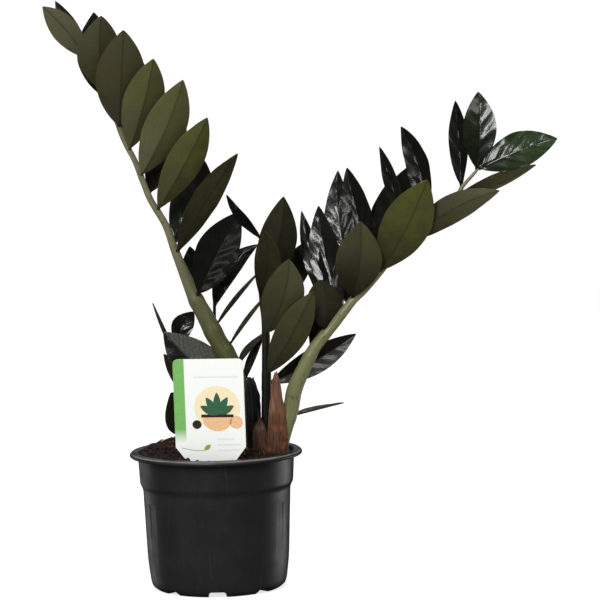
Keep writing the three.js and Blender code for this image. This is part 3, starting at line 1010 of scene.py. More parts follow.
    def leaflet_skin(self, sketch: Sketch, line: StemLine, leaf: Leaflet, rng: np.random.Generator,
                     detail: Detail) -> None:
        """Adds one leaflet: a short stalk out of the stem, then a folded, cupped and slightly wavy blade.

        Args:
            sketch: the mesh that it goes into.
            line: the stem's middle line.
            leaf: the leaflet.
            rng: source of its small irregularities.
            detail: how finely it is cut.
        """
        spine = self.spine(line, leaf, rng, detail)
        half = self.half_width(leaf, spine)
        levels = self.faces(spine, half, rng)
        t, facing = np.array(self.COLUMNS)[None, :], leaf.shows.value
        sides = [spine.centre[:, None, :] + spine.across[:, None, :] * (facing * half[:, None] * t)[..., None]
                 + spine.front[:, None, :] * (facing * level)[..., None] for level in levels]
        rings = np.concatenate([sides[0], sides[1][:, ::-1]], axis=1)
        run = np.broadcast_to(spine.share[:, None] * spine.length, levels[0].shape)
        place = np.stack([run, half[:, None] * t], axis=-1)
        places = np.concatenate([place, place[:, ::-1]], axis=1)
        columns = len(self.COLUMNS)
        strips = [Skin.TOP] * (columns - 1) + [Skin.UNDERSIDE] * (columns + 1)
        # Painted shade: every blade is drawn darker towards its foot, where other leaves shade it.
        fade = self.fade if leaf.shows is Shows.UNDERSIDE else 0.2
        halves = np.concatenate([t, t[:, ::-1]], axis=1)
        shade = leaf.tone - fade * (1 - spine.share[:, None]) ** 1.5
        # Painted light: one half of the blade is drawn lighter than the other, as if light falls on that half.
        shade = shade + leaf.painted_half_light * facing * (smoothstep(-0.06, 0.06, halves) / 2 - 0.25)
        # The green tint: fresh green on a top face, a painted glow of light through the blade on an underside.
        tint_share = leaf.green * (0.35 + 0.65 * smoothstep(0.15, 0.7, spine.share[:, None]))
        sketch.rings(rings, places, strips, tone=shade.ravel().clip(0, 1),
                     green=np.broadcast_to(tint_share, rings.shape[:2]).ravel())

    def build(self, top: bpy.types.Material, underside: bpy.types.Material, detail: Detail) -> bpy.types.Object:
        """Builds and dresses the frond.

        Args:
            top: the finish of the upper faces.
            underside: the finish of the lower faces.
            detail: how finely it is cut.

        Returns:
            The piece.
        """
        line, sketch = StemLine(self.stem), Sketch()
        rng = np.random.default_rng(self.seed)
        leaflets = self.leaflets()
        self.stem_skin(sketch, line, [leaf.height for leaf in leaflets], detail)
        for leaf in leaflets:
            self.leaflet_skin(sketch, line, leaf, rng, detail)
        piece = sketch.to_object(f"{self.node}_leaves_and_stem", [top, underside, self.skin.material()], 60)
        return attach(piece, self.node, "leaf")


LEFT_FROND = Frond(
    node="frond_left",
    skin=FleshyStem("fleshy_stem_left"),
    seed=11,
    painted_glow_under={0: 0.0, 1: 0.05, 2: 0.1, 3: 0.6, 4: 0.6, 5: 0.75, 6: 0.1},
    tone_and_shading_under={0: 1.0, 1: 0.76, 2: 0.75, 3: 0.9, 4: 1.0, 5: 0.8, 6: 0.45},
    painted_sheen_upper={8: 0.8, 9: 0.85, 10: 0.8, 11: 0.75, 12: 0.8},
    painted_half_light_under={1: -0.15, 3: -0.35, 4: -0.4, 5: -0.3, 6: 0.3},
    painted_half_light_upper={12: 1.3},
    stem=(
        (29, 11, 62, 4.6), (28, 12, 93, 6.2), (22, 9, 119, 6.2), (16, 7, 144, 6.2), (10, 6, 160, 6.4),
        (4, 6, 170, 6.3), (-1.2, 6, 180, 6.2), (-6, 6, 190, 5.9), (-11.2, 5, 200, 5.3), (-18.2, 5, 217, 4),
        (-25, 4, 235, 2.8), (-31, 3, 253, 2.5), (-41, 2, 271, 2.2), (-46, 2, 284, 2.1),
        (-51, 1, 298, 2), (-58, 1, 312, 1.8), (-65, 0, 332, 1.6), (-75, 0, 355, 1.5), (-84, 0, 373, 1.2),
    ),
    under=(
        (369, -1, -110.1, -16, 404.9, 18.5, -20, -2), (345, -1, -69.8, -24, 397.8, 30, -18, 2),
        (321, -1, -54.8, -27, 387.9, 34, -18, 0), (305, -1, -34.9, -27, 368.1, 28, -18, -2),
        (287, -1, -15.2, -27, 353.3, 29, -18, -2.5), (263, -1, 0.6, -25, 327.5, 25, -20, -2),
        (233, -1, 20.4, -22, 302.7, 19, -22, 1.6),
    ),
    upper=(
        (365, 1, -104.5, 20, 409.1, 13, 15, 0), (339, 1, -79, 34, 401.2, 26, 15, 3),
        (317, 1, -51.9, 38, 374, 28, 15, -2), (274, 1, -19.6, 40, 328.6, 26, 15, -1),
        (238, 1, -4.4, 40, 296.4, 28, 15, -2), (199, 1, -17, 50, 235, 15, 15, 0),
        (201, -1, 21.1, -20, 262.3, 29, 10, 1), (176, 1, 32, 30, 236.5, 15, 20, 6, 0, 16, -9.5),
        (179, 1, 33, 36, 217, 20, 90, 0), (164, 1, 38, 30, 201, 18, 90, 0),
        (151, 1, 36, 34, 174, 18, 80, 0), (136, 1, 35, 26, 173, 18, 74, 0), (124, 1, -34.5, 8, 178, 33, -10, 2),
    ),
)

MIDDLE_FROND = Frond(
    node="frond_middle",
    skin=FleshyStem("fleshy_stem_middle", skin="#211f18", shade="#181711", fleck="#0f0f0a", upper="#26251c"),
    seed=23,
    fade=0.45,
    painted_glow_under={0: 0.1, 1: 0.1, 2: 0.15, 3: 0.2},
    tone_and_shading_under={0: 0.15, 1: 0.42, 2: 0.85, 3: 0.78},
    painted_sheen_upper={1: 0.8},
    painted_half_light_under={0: -0.1, 1: 0.15, 2: 0.2},
    painted_half_light_upper={1: 0.9},
    stem=(
        (31, 1, 62, 3), (35, -1, 93, 4), (36, -2, 130, 3.5), (36.6, -5, 165, 3), (36.3, -8, 186, 2.5),
        (35, -10, 200, 2.3), (34, -13, 215, 2.1), (33, -15, 227, 1.8), (34, -17, 238, 1.5),
        (36, -18, 245, 1.2),
    ),
    under=(
        (211, 1, 51, 14, 270, 26, 0, -3.7), (197, -1, 38, -44, 251, 18, 0, -2.5),
        (175, -1, 54, -30, 230, 28, -8, -4), (147, -1, 70, -22, 207, 23, -10, -1.5),
    ),
    upper=(
        (243, -1, 12, -32, 274, 11, 50, -0.4), (140, 1, 100, 26, 172, 18.5, 0, -1.8),
        (195, 1, 71, 42, 240, 21, 10, -2, -6),
    ),
)

RIGHT_FROND = Frond(
    node="frond_right",
    skin=FleshyStem("fleshy_stem_right", skin="#7b7d55", shade="#696b47", upper="#7f7b5e"),
    seed=37,
    fade=0.5,
    painted_glow_under={0: 0.0, 1: 0.15, 2: 0.8, 3: 0.1, 4: 0.1},
    fresh_upper={9: 0.3, 10: 0.8},
    tone_and_shading_under={0: 0.55, 1: 0.66, 2: 0.8, 3: 0.92, 4: 0.97},
    painted_half_light_under={1: 0.4, 2: 0.2},
    painted_sheen_upper={11: 0.9},
    cup_upper={0: -4.0, 2: 0.3, 6: 2.5, 9: 4.0, 10: -2.0},
    stem=(
        (40, -8, 62, 3.8), (42, -6.5, 80, 4.8), (44.6, -5, 94, 5.4), (46, -5, 102, 5.4), (49.2, -5, 113, 5.5),
        (52.8, -5, 124, 5.5), (55.6, -5, 137, 5.5), (62, -5, 151, 5), (69.5, -5, 165, 4.3), (75, -5, 172, 4),
        (83, -5, 181, 3.5), (92, -5, 192, 3.1),
        (98, -4, 199, 2.8), (105, -4, 205, 2.6), (115, -3, 216, 2.4), (123, -2, 225, 2.2),
        (137, 0, 239, 2), (149, 1, 250, 1.8), (158, 2, 259, 1.6), (170, 3, 268, 1.5),
        (175, 3, 275, 1.3), (186, 3, 287, 1.1),
    ),
    under=(
        (175, -1, 76, 12, 212, 24, -12, 0, 8), (198, -1, 103.7, -8, 253, 32, -8, 0, 14),
        (217, -1, 149.2, -24, 281.9, 34, -12, -2.5), (237, -1, 199.1, -16, 272.7, 20, -8, 4.5),
        (268, -1, 225.5, 2, 289.3, 23, -60, -6),
    ),
    upper=(
        (190, 1, 75, 18, 263, 22.5, 16, 4), (184, 1, 63, 30, 259, 14, 20, 2),
        (201, 1, 89.1, 38, 286.6, 22, 15, 4), (212, 1, 95.2, 32, 288.5, 26, 35, -1),
        (220, 1, 125.2, 46, 277.7, 23, 20, 0), (236, 1, 118.4, 34, 302.5, 14.5, 45, -3),
        (216, 1, 144.3, 48, 290.7, 30, 15, 0), (252, 1, 133.6, 32, 316.5, 20, 40, -6),
        (274, 1, 171.7, 22, 333.7, 19, 50, -2), (286, 1, 187.4, 10, 339.9, 23, 0, -1),
        (288, -1, 239.5, -10, 307.2, 25.5, 20, 2), (118, 1, 90, 30, 123, 18, 94, 0),
        (160, 1, 88, 34, 222, 17, 10, 0), (194, 1, 92, 36, 250, 24, 10, 3),
    ),
)

SHORT_FROND = Frond(
    node="frond_short",
    skin=FleshyStem("fleshy_stem_short", skin="#33332a", shade="#222219", fleck="#161610",
                    upper="#2c2c22"),
    seed=41,
    tone_and_shading_under={0: 0.25, 1: 0.05},
    cup_upper={1: 3.5},
    stem=(
        (12, 18, 62, 3.6), (8, 20, 89, 4.4), (-3, 21, 110, 3.5), (-13, 22, 129, 2.8), (-21, 22, 146, 2.2),
        (-25, 22, 159, 1.7), (-27, 22, 167, 1.3),
    ),
    under=((124, -1, -35, 8, 163, 12, 0, 0), (104, -1, -31, 6, 136, 29, 0, 6)),
    upper=(
        (150, 1, -43, 34, 196, 18, 88, 0), (165, 1, -14, 30, 190, 15, 0, 3),
    ),
)


# ------------------------------------------------------------------------------------------------ sheaths


@dataclass
class Sheath:
    """A dried leaf sheath round the foot of a frond: a curled sheet of fibres with a torn top."""

    node: str
    facing: float  # degrees; which way its back faces
    rows: Sequence[tuple[float, float, float, float, float]]  # x, y, z, half width, curl of the edges
    skin: DriedSheath
    slot: str
    seed: int
    thick: float = 0.7

    def build(self, detail: Detail) -> bpy.types.Object:
        """Builds and dresses the sheath.

        Args:
            detail: how finely it is cut.

        Returns:
            The piece.
        """
        table = np.array(self.rows, float)
        reach = np.concatenate([[0.0], np.cumsum(np.linalg.norm(np.diff(table[:, :3], axis=0), axis=1))])
        fine = np.linspace(0, reach[-1], detail.steps(90))
        rounded = np.column_stack([np.interp(fine, reach, table[:, k]) for k in range(5)])
        window = np.hanning(9) / np.hanning(9).sum()
        for k in range(5):  # takes the corners off the straight runs between the rows
            padded = np.pad(rounded[:, k], 4, mode="edge")
            rounded[:, k] = np.convolve(padded, window, mode="valid")
        rounded[:, 2] = np.interp(fine, reach, table[:, 2])
        facing = math.radians(self.facing)
        out = np.array([math.cos(facing), math.sin(facing), 0.0])
        side = np.array([-out[1], out[0], 0.0])
        u = np.linspace(-1, 1, detail.steps(44))[None, :]
        x, half, curl = rounded[:, :3], rounded[:, 3][:, None], rounded[:, 4][:, None]
        across, height = half * u, x[:, 2][:, None] * np.ones_like(u)
        ridges = 0.22 * ripple(across * 1.0, height * 0.06, 1.9, self.seed)
        crumple = 0.3 * ripple(across * 0.8, height * 0.5, 9.0, self.seed + 1)
        frayed = 1 + 0.035 * ripple(height, height * 0.0, 6.0, self.seed + 2) * np.abs(u) ** 3
        relief = (ridges + crumple) * smoothstep(0.0, 1.5, half)
        near_top = smoothstep(reach[-1] - 7, reach[-1], fine)[:, None]
        torn = 1.6 * ripple(across, across * 0.0, 1.6, self.seed + 3) * near_top
        sheets = []
        for depth in (0.0, self.thick):
            level = -curl * u * u - depth + relief
            sheets.append(x[:, None, :] + (across * frayed)[..., None] * side + level[..., None] * out
                          + np.stack([torn * 0, torn * 0, np.minimum(torn, 0.0)], axis=-1))
        rings = np.concatenate([sheets[0], sheets[1][:, ::-1]], axis=1)
        place = np.stack([across, height], axis=-1)
        sketch = Sketch()
        sketch.rings(rings, np.concatenate([place, place[:, ::-1]], axis=1), 0)
        piece = sketch.to_object(f"{self.node}_fibres", [self.skin.material()], 70)
        return attach(piece, self.node, self.slot)


SHEATHS = (
    # The left sheath is coloured near black: painted shade at the foot of the left stem, which lies in shade.
    Sheath("sheath_left", -75, ((29.5, 4, 86, 6.2, 3), (29.5, 4, 96, 6.2, 3), (27.5, 0.8, 119, 5.2, 2),
                                (27, 1, 132, 5.3, 1.6), (25.2, 1.5, 146, 2.2, 0.4)),
           DriedSheath("painted_shade_sheath_left", ((0.0, "#1c1714"), (1.0, "#17140f")), "#2a211b", 90, 146),
           "dark_sheath", 51),
    Sheath("sheath_middle", -90, ((31, -9, 88, 5.8, 2), (31, -9, 97, 5.6, 2), (30.8, -9, 110, 4.8, 1.6),
                                  (31.3, -8, 119, 0.7, 0.2)),
           DriedSheath("dried_sheath_middle", ((0.0, "#3e281e"), (0.5, "#664738"), (1.0, "#4b3227")), "#715443", 90,
                       119, 0.42), "brown_sheath", 61),
    Sheath("sheath_right", -90, ((42, -13.6, 88, 7.4, 2.4), (42.6, -13.6, 96, 8, 2.4), (43.2, -13.4, 110, 6.9, 2.2),
                                 (43.2, -12.6, 122, 5.8, 1.6), (43, -11.5, 133, 4.3, 1.2),
                                 (43, -10, 144, 2.9, 0.8), (43, -9.5, 151, 0.6, 0.1)),
           DriedSheath("dried_sheath_right", ((0.0, "#4c3323"), (0.35, "#603c26"), (0.62, "#775038"),
                                              (0.85, "#6d4737"), (1.0, "#634a3c")), "#80512f", 92, 151, 0.4),
           "brown_sheath", 71),
)


# ------------------------------------------------------------------------------------------------ pot


@dataclass
class NurseryPot:
    """The moulded pot: lip, collar, tapered body, drain channels, holes and stacking lugs."""

    height: float = 96.0
    rim: float = 60.0
    lip: float = 3.6
    collar: float = 54.3
    step: float = 74.0
    body: float = 51.3
    foot: float = 47.4
    wall: float = 1.6
    floor: float = 5.6
    channels: int = 8
    channel: tuple[float, float, float, float] = (13.0, 10.0, 4.0, 17.0)  # width, top width, height, inner end
    hole: tuple[float, float] = (4.0, 35.0)  # radius, distance from the middle
    lugs: int = 3
    lug: tuple[float, float, float, float, float] = (-30.0, 9.0, 62.0, 9.0, 0.5)  # first, width, top, bottom, depth

    def profile(self) -> list[tuple[float, float, float]]:
        """Lays out the turned section, from the middle of the base out and up, and down to the floor's middle.

        Returns:
            Radius, height and rounding of each corner.
        """
        h, w = self.height, self.wall
        return [
            (0, 0, 0), (43, 0, 1.2), (44.6, 1.2, 0.6), (self.foot - 1, 2.6, 1.0), (self.foot, 6, 3.0),
            (self.foot + 1.8, 20, 6.0), (self.body, self.step - 4, 1.8), (self.collar - 1, self.step, 1.4),
            (self.collar, h - self.lip, 0.6), (self.rim - 0.8, h - self.lip, 0.6), (self.rim, h - self.lip + 0.9, 0.5),
            (self.rim, h - 1.6, 1.5), (self.rim - 1.6, h, 1.5), (self.collar + 0.2, h, 1.0),
            (self.collar - w, h - 1.4, 1.0), (self.collar - 1 - w, self.step + 0.6, 1.2),
            (self.body - w, self.step - 3.4, 1.5), (self.foot + 1.8 - w, 20, 5.0),
            (self.foot - w, self.floor + 2, 1.0), (self.foot - w - 2, self.floor, 1.0), (0, self.floor, 0),
        ]

    @staticmethod
    def rounded(corners: Sequence[tuple[float, float, float]], steps: int) -> np.ndarray:
        """Rounds the corners of an open line.

        Args:
            corners: radius, height and rounding of each corner.
            steps: points on each rounding.

        Returns:
            The line's points.
        """
        line = [np.array(corners[0][:2], float)]
        for before, here, after in zip(corners, corners[1:], corners[2:]):
            corner = np.array(here[:2], float)
            towards = [np.array(other[:2], float) - corner for other in (before, after)]
            lengths = [float(np.linalg.norm(leg)) for leg in towards]
            cut = min(here[2], *(0.45 * length for length in lengths))
            start, end = (corner + leg / length * cut for leg, length in zip(towards, lengths))
            for share in np.linspace(0, 1, steps):
                line.append((1 - share) ** 2 * start + 2 * share * (1 - share) * corner + share ** 2 * end)
        line.append(np.array(corners[-1][:2], float))
        return np.array(line)

    def cutters(self) -> Sketch:
        """Draws what is cut out of the turned pot.

        Returns:
            The channels, drain holes and lug recesses, as closed bodies.
        """
        sketch = Sketch()
        width, top, height, inner = self.channel
        for i in range(self.channels):
            angle = math.radians(360 * i / self.channels)
            turn = np.array([[math.cos(angle), -math.sin(angle), 0], [math.sin(angle), math.cos(angle), 0], [0, 0, 1]])
            section = [(-width / 2, -1), (width / 2, -1), (top / 2 + 0.6, height - 0.7), (top / 2 - 0.6, height),
                       (-top / 2 + 0.6, height), (-top / 2 - 0.6, height - 0.7)]
            bar = np.array([[[x, -inner - far, z] for x, z in section] for far in (0.0, 50.0)]) @ turn.T
            sketch.rings(bar, np.zeros((2, 6, 2)), 0)
            round_angles = np.linspace(0, FULL_TURN, 28, endpoint=False)
            hole = np.array([[[self.hole[0] * math.cos(a), -self.hole[1] + self.hole[0] * math.sin(a), z]
                              for a in round_angles] for z in (-3.0, 9.0)]) @ turn.T
            sketch.rings(hole, np.zeros((2, 28, 2)), 0)
        first, width, top, bottom, depth = self.lug
        slope = (self.body - self.foot - 1.8) / (self.step - 24)
        for i in range(self.lugs):
            angle = math.radians(first + 360 * i / self.lugs)
            out = np.array([math.cos(angle), math.sin(angle), 0])
            side = np.array([-math.sin(angle), math.cos(angle), 0])
            section = [(self.foot + 1.8 + slope * (z - 20) + reach, z)
                       for z, reach in ((top, -depth), (bottom, -0.1), (bottom, 3), (top, 3))]
            bar = np.array([[out * r + side * y + np.array([0, 0, z]) for r, z in section]
                            for y in (width / 2, -width / 2)])
            sketch.rings(bar, np.zeros((2, 4, 2)), 0)
        return sketch

    def build(self, skin: MouldedPolypropylene, detail: Detail) -> bpy.types.Object:
        """Builds and dresses the pot.

        Args:
            skin: its finish.
            detail: how finely it is cut.

        Returns:
            The piece.
        """
        line = self.rounded(self.profile(), 5)
        around = detail.steps(224)
        angles = np.linspace(0, FULL_TURN, around, endpoint=False)
        run = np.concatenate([[0.0], np.cumsum(np.linalg.norm(np.diff(line, axis=0), axis=1))])
        turned = line[1:-1]
        rings = np.stack([turned[:, 0][:, None] * np.cos(angles), turned[:, 0][:, None] * np.sin(angles),
                          np.broadcast_to(turned[:, 1][:, None], (len(turned), around))], axis=-1)
        places = np.stack([np.broadcast_to(angles * self.rim, rings.shape[:2]),
                           np.broadcast_to(run[1:-1][:, None], rings.shape[:2])], axis=-1)
        sketch = Sketch()
        sketch.rings(rings, places, 0)
        shell = sketch.to_object("pot_shell_moulded", [skin.material()], 40)
        tool = self.cutters().to_object("pot_cutters", [], 40)
        cut = shell.modifiers.new("openings", "BOOLEAN")
        cut.operation, cut.solver, cut.object = "DIFFERENCE", "EXACT", tool
        cut.use_self = True
        graph = bpy.context.evaluated_depsgraph_get()
        mesh = bpy.data.meshes.new_from_object(shell.evaluated_get(graph))
        shell.modifiers.clear()
        shell.data = mesh
        mesh.set_sharp_from_angle(angle=math.radians(40))
        bpy.data.objects.remove(tool)
        return attach(shell, "pot", "pot_plastic")


# ------------------------------------------------------------------------------------------------ soil


@dataclass
class Peat:
    """The peat in the pot: an uneven top with a heap on the left, loose crumbs, bark and root fibres."""

    edge: float = 93.2
    dome: float = 3.0
    grain: float = 0.9
    mound: tuple[float, float, float, float, float] = (-28.0, 4.0, 8.0, 23.0, 30.0)  # x, y, height, wide, deep
    radius: float = 52.3
    dip: float = 2.2  # how much lower it lies in front of the label
    crumbs: int = 2600
    crumb_reach: float = 51.2  # how far from the middle crumbs lie
    fibres: int = 150
    fibre_reach: float = 46.0
    fibre_limit: float = 50.0  # where a fibre that runs outwards is left out
    seed: int = 5

    def top(self, x: np.ndarray, y: np.ndarray) -> np.ndarray:
        """Height of the soil.

        Args:
            x: first coordinate, in millimetres.
            y: second coordinate.

        Returns:
            The height at each place.
        """
        mx, my, height, wide, deep = self.mound
        heap = np.exp(-(((x - mx) / wide) ** 2) - ((y - my) / deep) ** 2)
        grain = np.sin(x * 0.9 + 1.3 * np.sin(y * 0.7)) * np.cos(y * 0.8 + np.sin(x * 0.5))
        dip = self.dip * smoothstep(-38.0, -45.0, y) * smoothstep(30.0, 20.0, np.abs(x + 3.0))
        return self.edge + self.dome * (1 - (x * x + y * y) / 53 ** 2) + height * heap + self.grain * grain - dip

    def bed(self, sketch: Sketch, detail: Detail) -> None:
        """Adds the bed: the crumbled top, and the sides and underside that lie in the pot.

        Args:
            sketch: the mesh that it goes into.
            detail: how finely it is cut.
        """
        around = detail.steps(260)
        angles = np.linspace(0, FULL_TURN, around, endpoint=False)
        side = [(0.5, 5.9), (43.5, 5.9), (45.5, 7.9), (47.3, 20), (49.4, 70.6), (51.4, 75.6), (52.2, 90), (52.3, 92)]
        tops = np.linspace(self.radius, 0.5, detail.steps(86))
        rings, places = [], []
        for radius, height in side + [(r, None) for r in tops]:
            x, y = radius * np.cos(angles), radius * np.sin(angles)
            if height is None:
                lumps = 0.7 * ripple(x, y, 5.0, self.seed) + 0.45 * ripple(x, y, 2.2, self.seed + 1)
                rim = smoothstep(self.radius + 0.2, self.radius - 4, radius)
                z = self.top(x, y) + (lumps - 0.5) * rim
            else:
                z = np.full(around, float(height))
            rings.append(np.column_stack([x, y, z]))
            places.append(np.column_stack([x, y]))
        sketch.rings(np.array(rings), np.array(places), 0, tone=0.3)

    def lump(self, rng: np.random.Generator, size: float) -> tuple[np.ndarray, list[tuple[int, int, int]]]:
        """Makes one crumb.

        Args:
            rng: source of its shape.
            size: its radius.

        Returns:
            Its corners about its middle, and its faces.
        """
        g = (1 + math.sqrt(5)) / 2  # the golden ratio: a crumb is an icosahedron, knocked out of shape
        corners = np.array([(-1, g, 0), (1, g, 0), (-1, -g, 0), (1, -g, 0), (0, -1, g), (0, 1, g), (0, -1, -g),
                            (0, 1, -g), (g, 0, -1), (g, 0, 1), (-g, 0, -1), (-g, 0, 1)]) / math.sqrt(1 + g * g)
        faces = [(0, 11, 5), (0, 5, 1), (0, 1, 7), (0, 7, 10), (0, 10, 11), (1, 5, 9), (5, 11, 4), (11, 10, 2),
                 (10, 7, 6), (7, 1, 8), (3, 9, 4), (3, 4, 2), (3, 2, 6), (3, 6, 8), (3, 8, 9), (4, 9, 5), (2, 4, 11),
                 (6, 2, 10), (8, 6, 7), (9, 8, 1)]
        corners = corners * rng.uniform(0.6, 1.25, (12, 1)) * rng.uniform((0.7, 0.5, 0.35), (1.5, 1.1, 0.8))
        turn = np.array(Matrix.Rotation(rng.uniform(0, 6.3), 3, "Z") @ Matrix.Rotation(rng.uniform(-0.9, 0.9), 3, "X"))
        return corners @ turn.T * size, faces

    def scatter_crumbs(self, sketch: Sketch, rng: np.random.Generator, keep_out: KeepOut, detail: Detail) -> None:
        """Strews loose crumbs over the bed.

        Args:
            sketch: the mesh that they go into.
            rng: source of their places, sizes and tones.
            keep_out: tells whether a place is taken by a stem, a sheath or the label.
            detail: how many of them there are.
        """
        for _ in range(detail.steps(self.crumbs)):
            r, a = self.crumb_reach * math.sqrt(rng.uniform(0, 1)), rng.uniform(0, FULL_TURN)
            x, y = r * math.cos(a), r * math.sin(a)
            size, tone = 0.45 + 1.5 * rng.beta(1.2, 4.5), float(rng.beta(2.0, 3.6))
            if keep_out(x, y) or r + size > self.radius - 0.3:
                continue
            corners, faces = self.lump(rng, size)
            z = float(self.top(np.array(x), np.array(y))) + size * 0.25
            sketch.add(corners + (x, y, z), corners[:, :2], faces, 0, tone, smooth=False)

    def scatter_fibres(self, sketch: Sketch, rng: np.random.Generator, keep_out: KeepOut, detail: Detail) -> None:
        """Strews curled root fibres over the bed.

        Args:
            sketch: the mesh that they go into.
            rng: source of their places, curls and tones.
            keep_out: tells whether a place is taken by a stem, a sheath or the label.
            detail: how many of them there are.
        """
        for _ in range(detail.steps(self.fibres)):
            r, a = self.fibre_reach * math.sqrt(rng.uniform(0, 1)), rng.uniform(0, FULL_TURN)
            x, y, heading, length = r * math.cos(a), r * math.sin(a), rng.uniform(0, 6.3), rng.uniform(3, 10)
            curl, thick = rng.uniform(-0.25, 0.25), rng.uniform(0.12, 0.28)
            rings = []
            for k in range(7):
                heading += curl
                x, y = x + math.cos(heading) * length / 6, y + math.sin(heading) * length / 6
                z = float(self.top(np.array(x), np.array(y))) + 0.8 + 0.8 * math.sin(k * math.pi / 6)
                cross = np.array([-math.sin(heading), math.cos(heading), 0.0])
                rings.append([np.array([x, y, z]) + thick * (c * cross + s * np.array([0, 0, 1.0]))
                              for c, s in ((1, 0), (0, 1), (-1, 0), (0, -1))])
            middle = rings[3][0]
            if keep_out(float(middle[0]), float(middle[1])) or math.hypot(x, y) > self.fibre_limit:
                continue
            sketch.rings(np.array(rings)[:, ::-1], np.zeros((7, 4, 2)), 0, tone=float(rng.uniform(0.6, 0.97)))

    def build(self, skin: DampPeat, keep_out: KeepOut, detail: Detail) -> bpy.types.Object:
        """Builds and dresses the peat.

        Args:
            skin: its finish.
            keep_out: tells whether a place is taken by a stem, a sheath or the label.
            detail: how finely it is cut.

        Returns:
            The piece.
        """
        sketch, rng = Sketch(), np.random.default_rng(self.seed)
        self.bed(sketch, detail)
        self.scatter_crumbs(sketch, rng, keep_out, detail)
        self.scatter_fibres(sketch, rng, keep_out, detail)
        piece = sketch.to_object("peat_bed_and_crumbs", [skin.material()], 60)
        return attach(piece, "soil", "peat")


# ------------------------------------------------------------------------------------------------ label


class Ink(Enum):
    """The bare card, and the inks that it is printed with."""

    BARE = PrintedCard()
    FRESH_GREEN = PrintedCard("ink_fresh_green", "#70b258", "#7fbd68", 106.5, 116.0)
    CREAM = PrintedCard("ink_cream", "#f6ecc9", "#f3dfb4")
    PEACH = PrintedCard("ink_peach", "#eab182", "#f0c79a")
    DARK_GREEN = PrintedCard("ink_dark_green", "#2f5a45", "#3c6a4d")
    DARK_BROWN = PrintedCard("ink_dark_brown", "#2b2318", "#3a2d1e")
    PALE_GREY = PrintedCard("ink_pale_grey", "#dfe3e2", "#e6eae8")
    LEAF_GREEN = PrintedCard("ink_leaf_green", "#93b14a", "#7f9f3d")


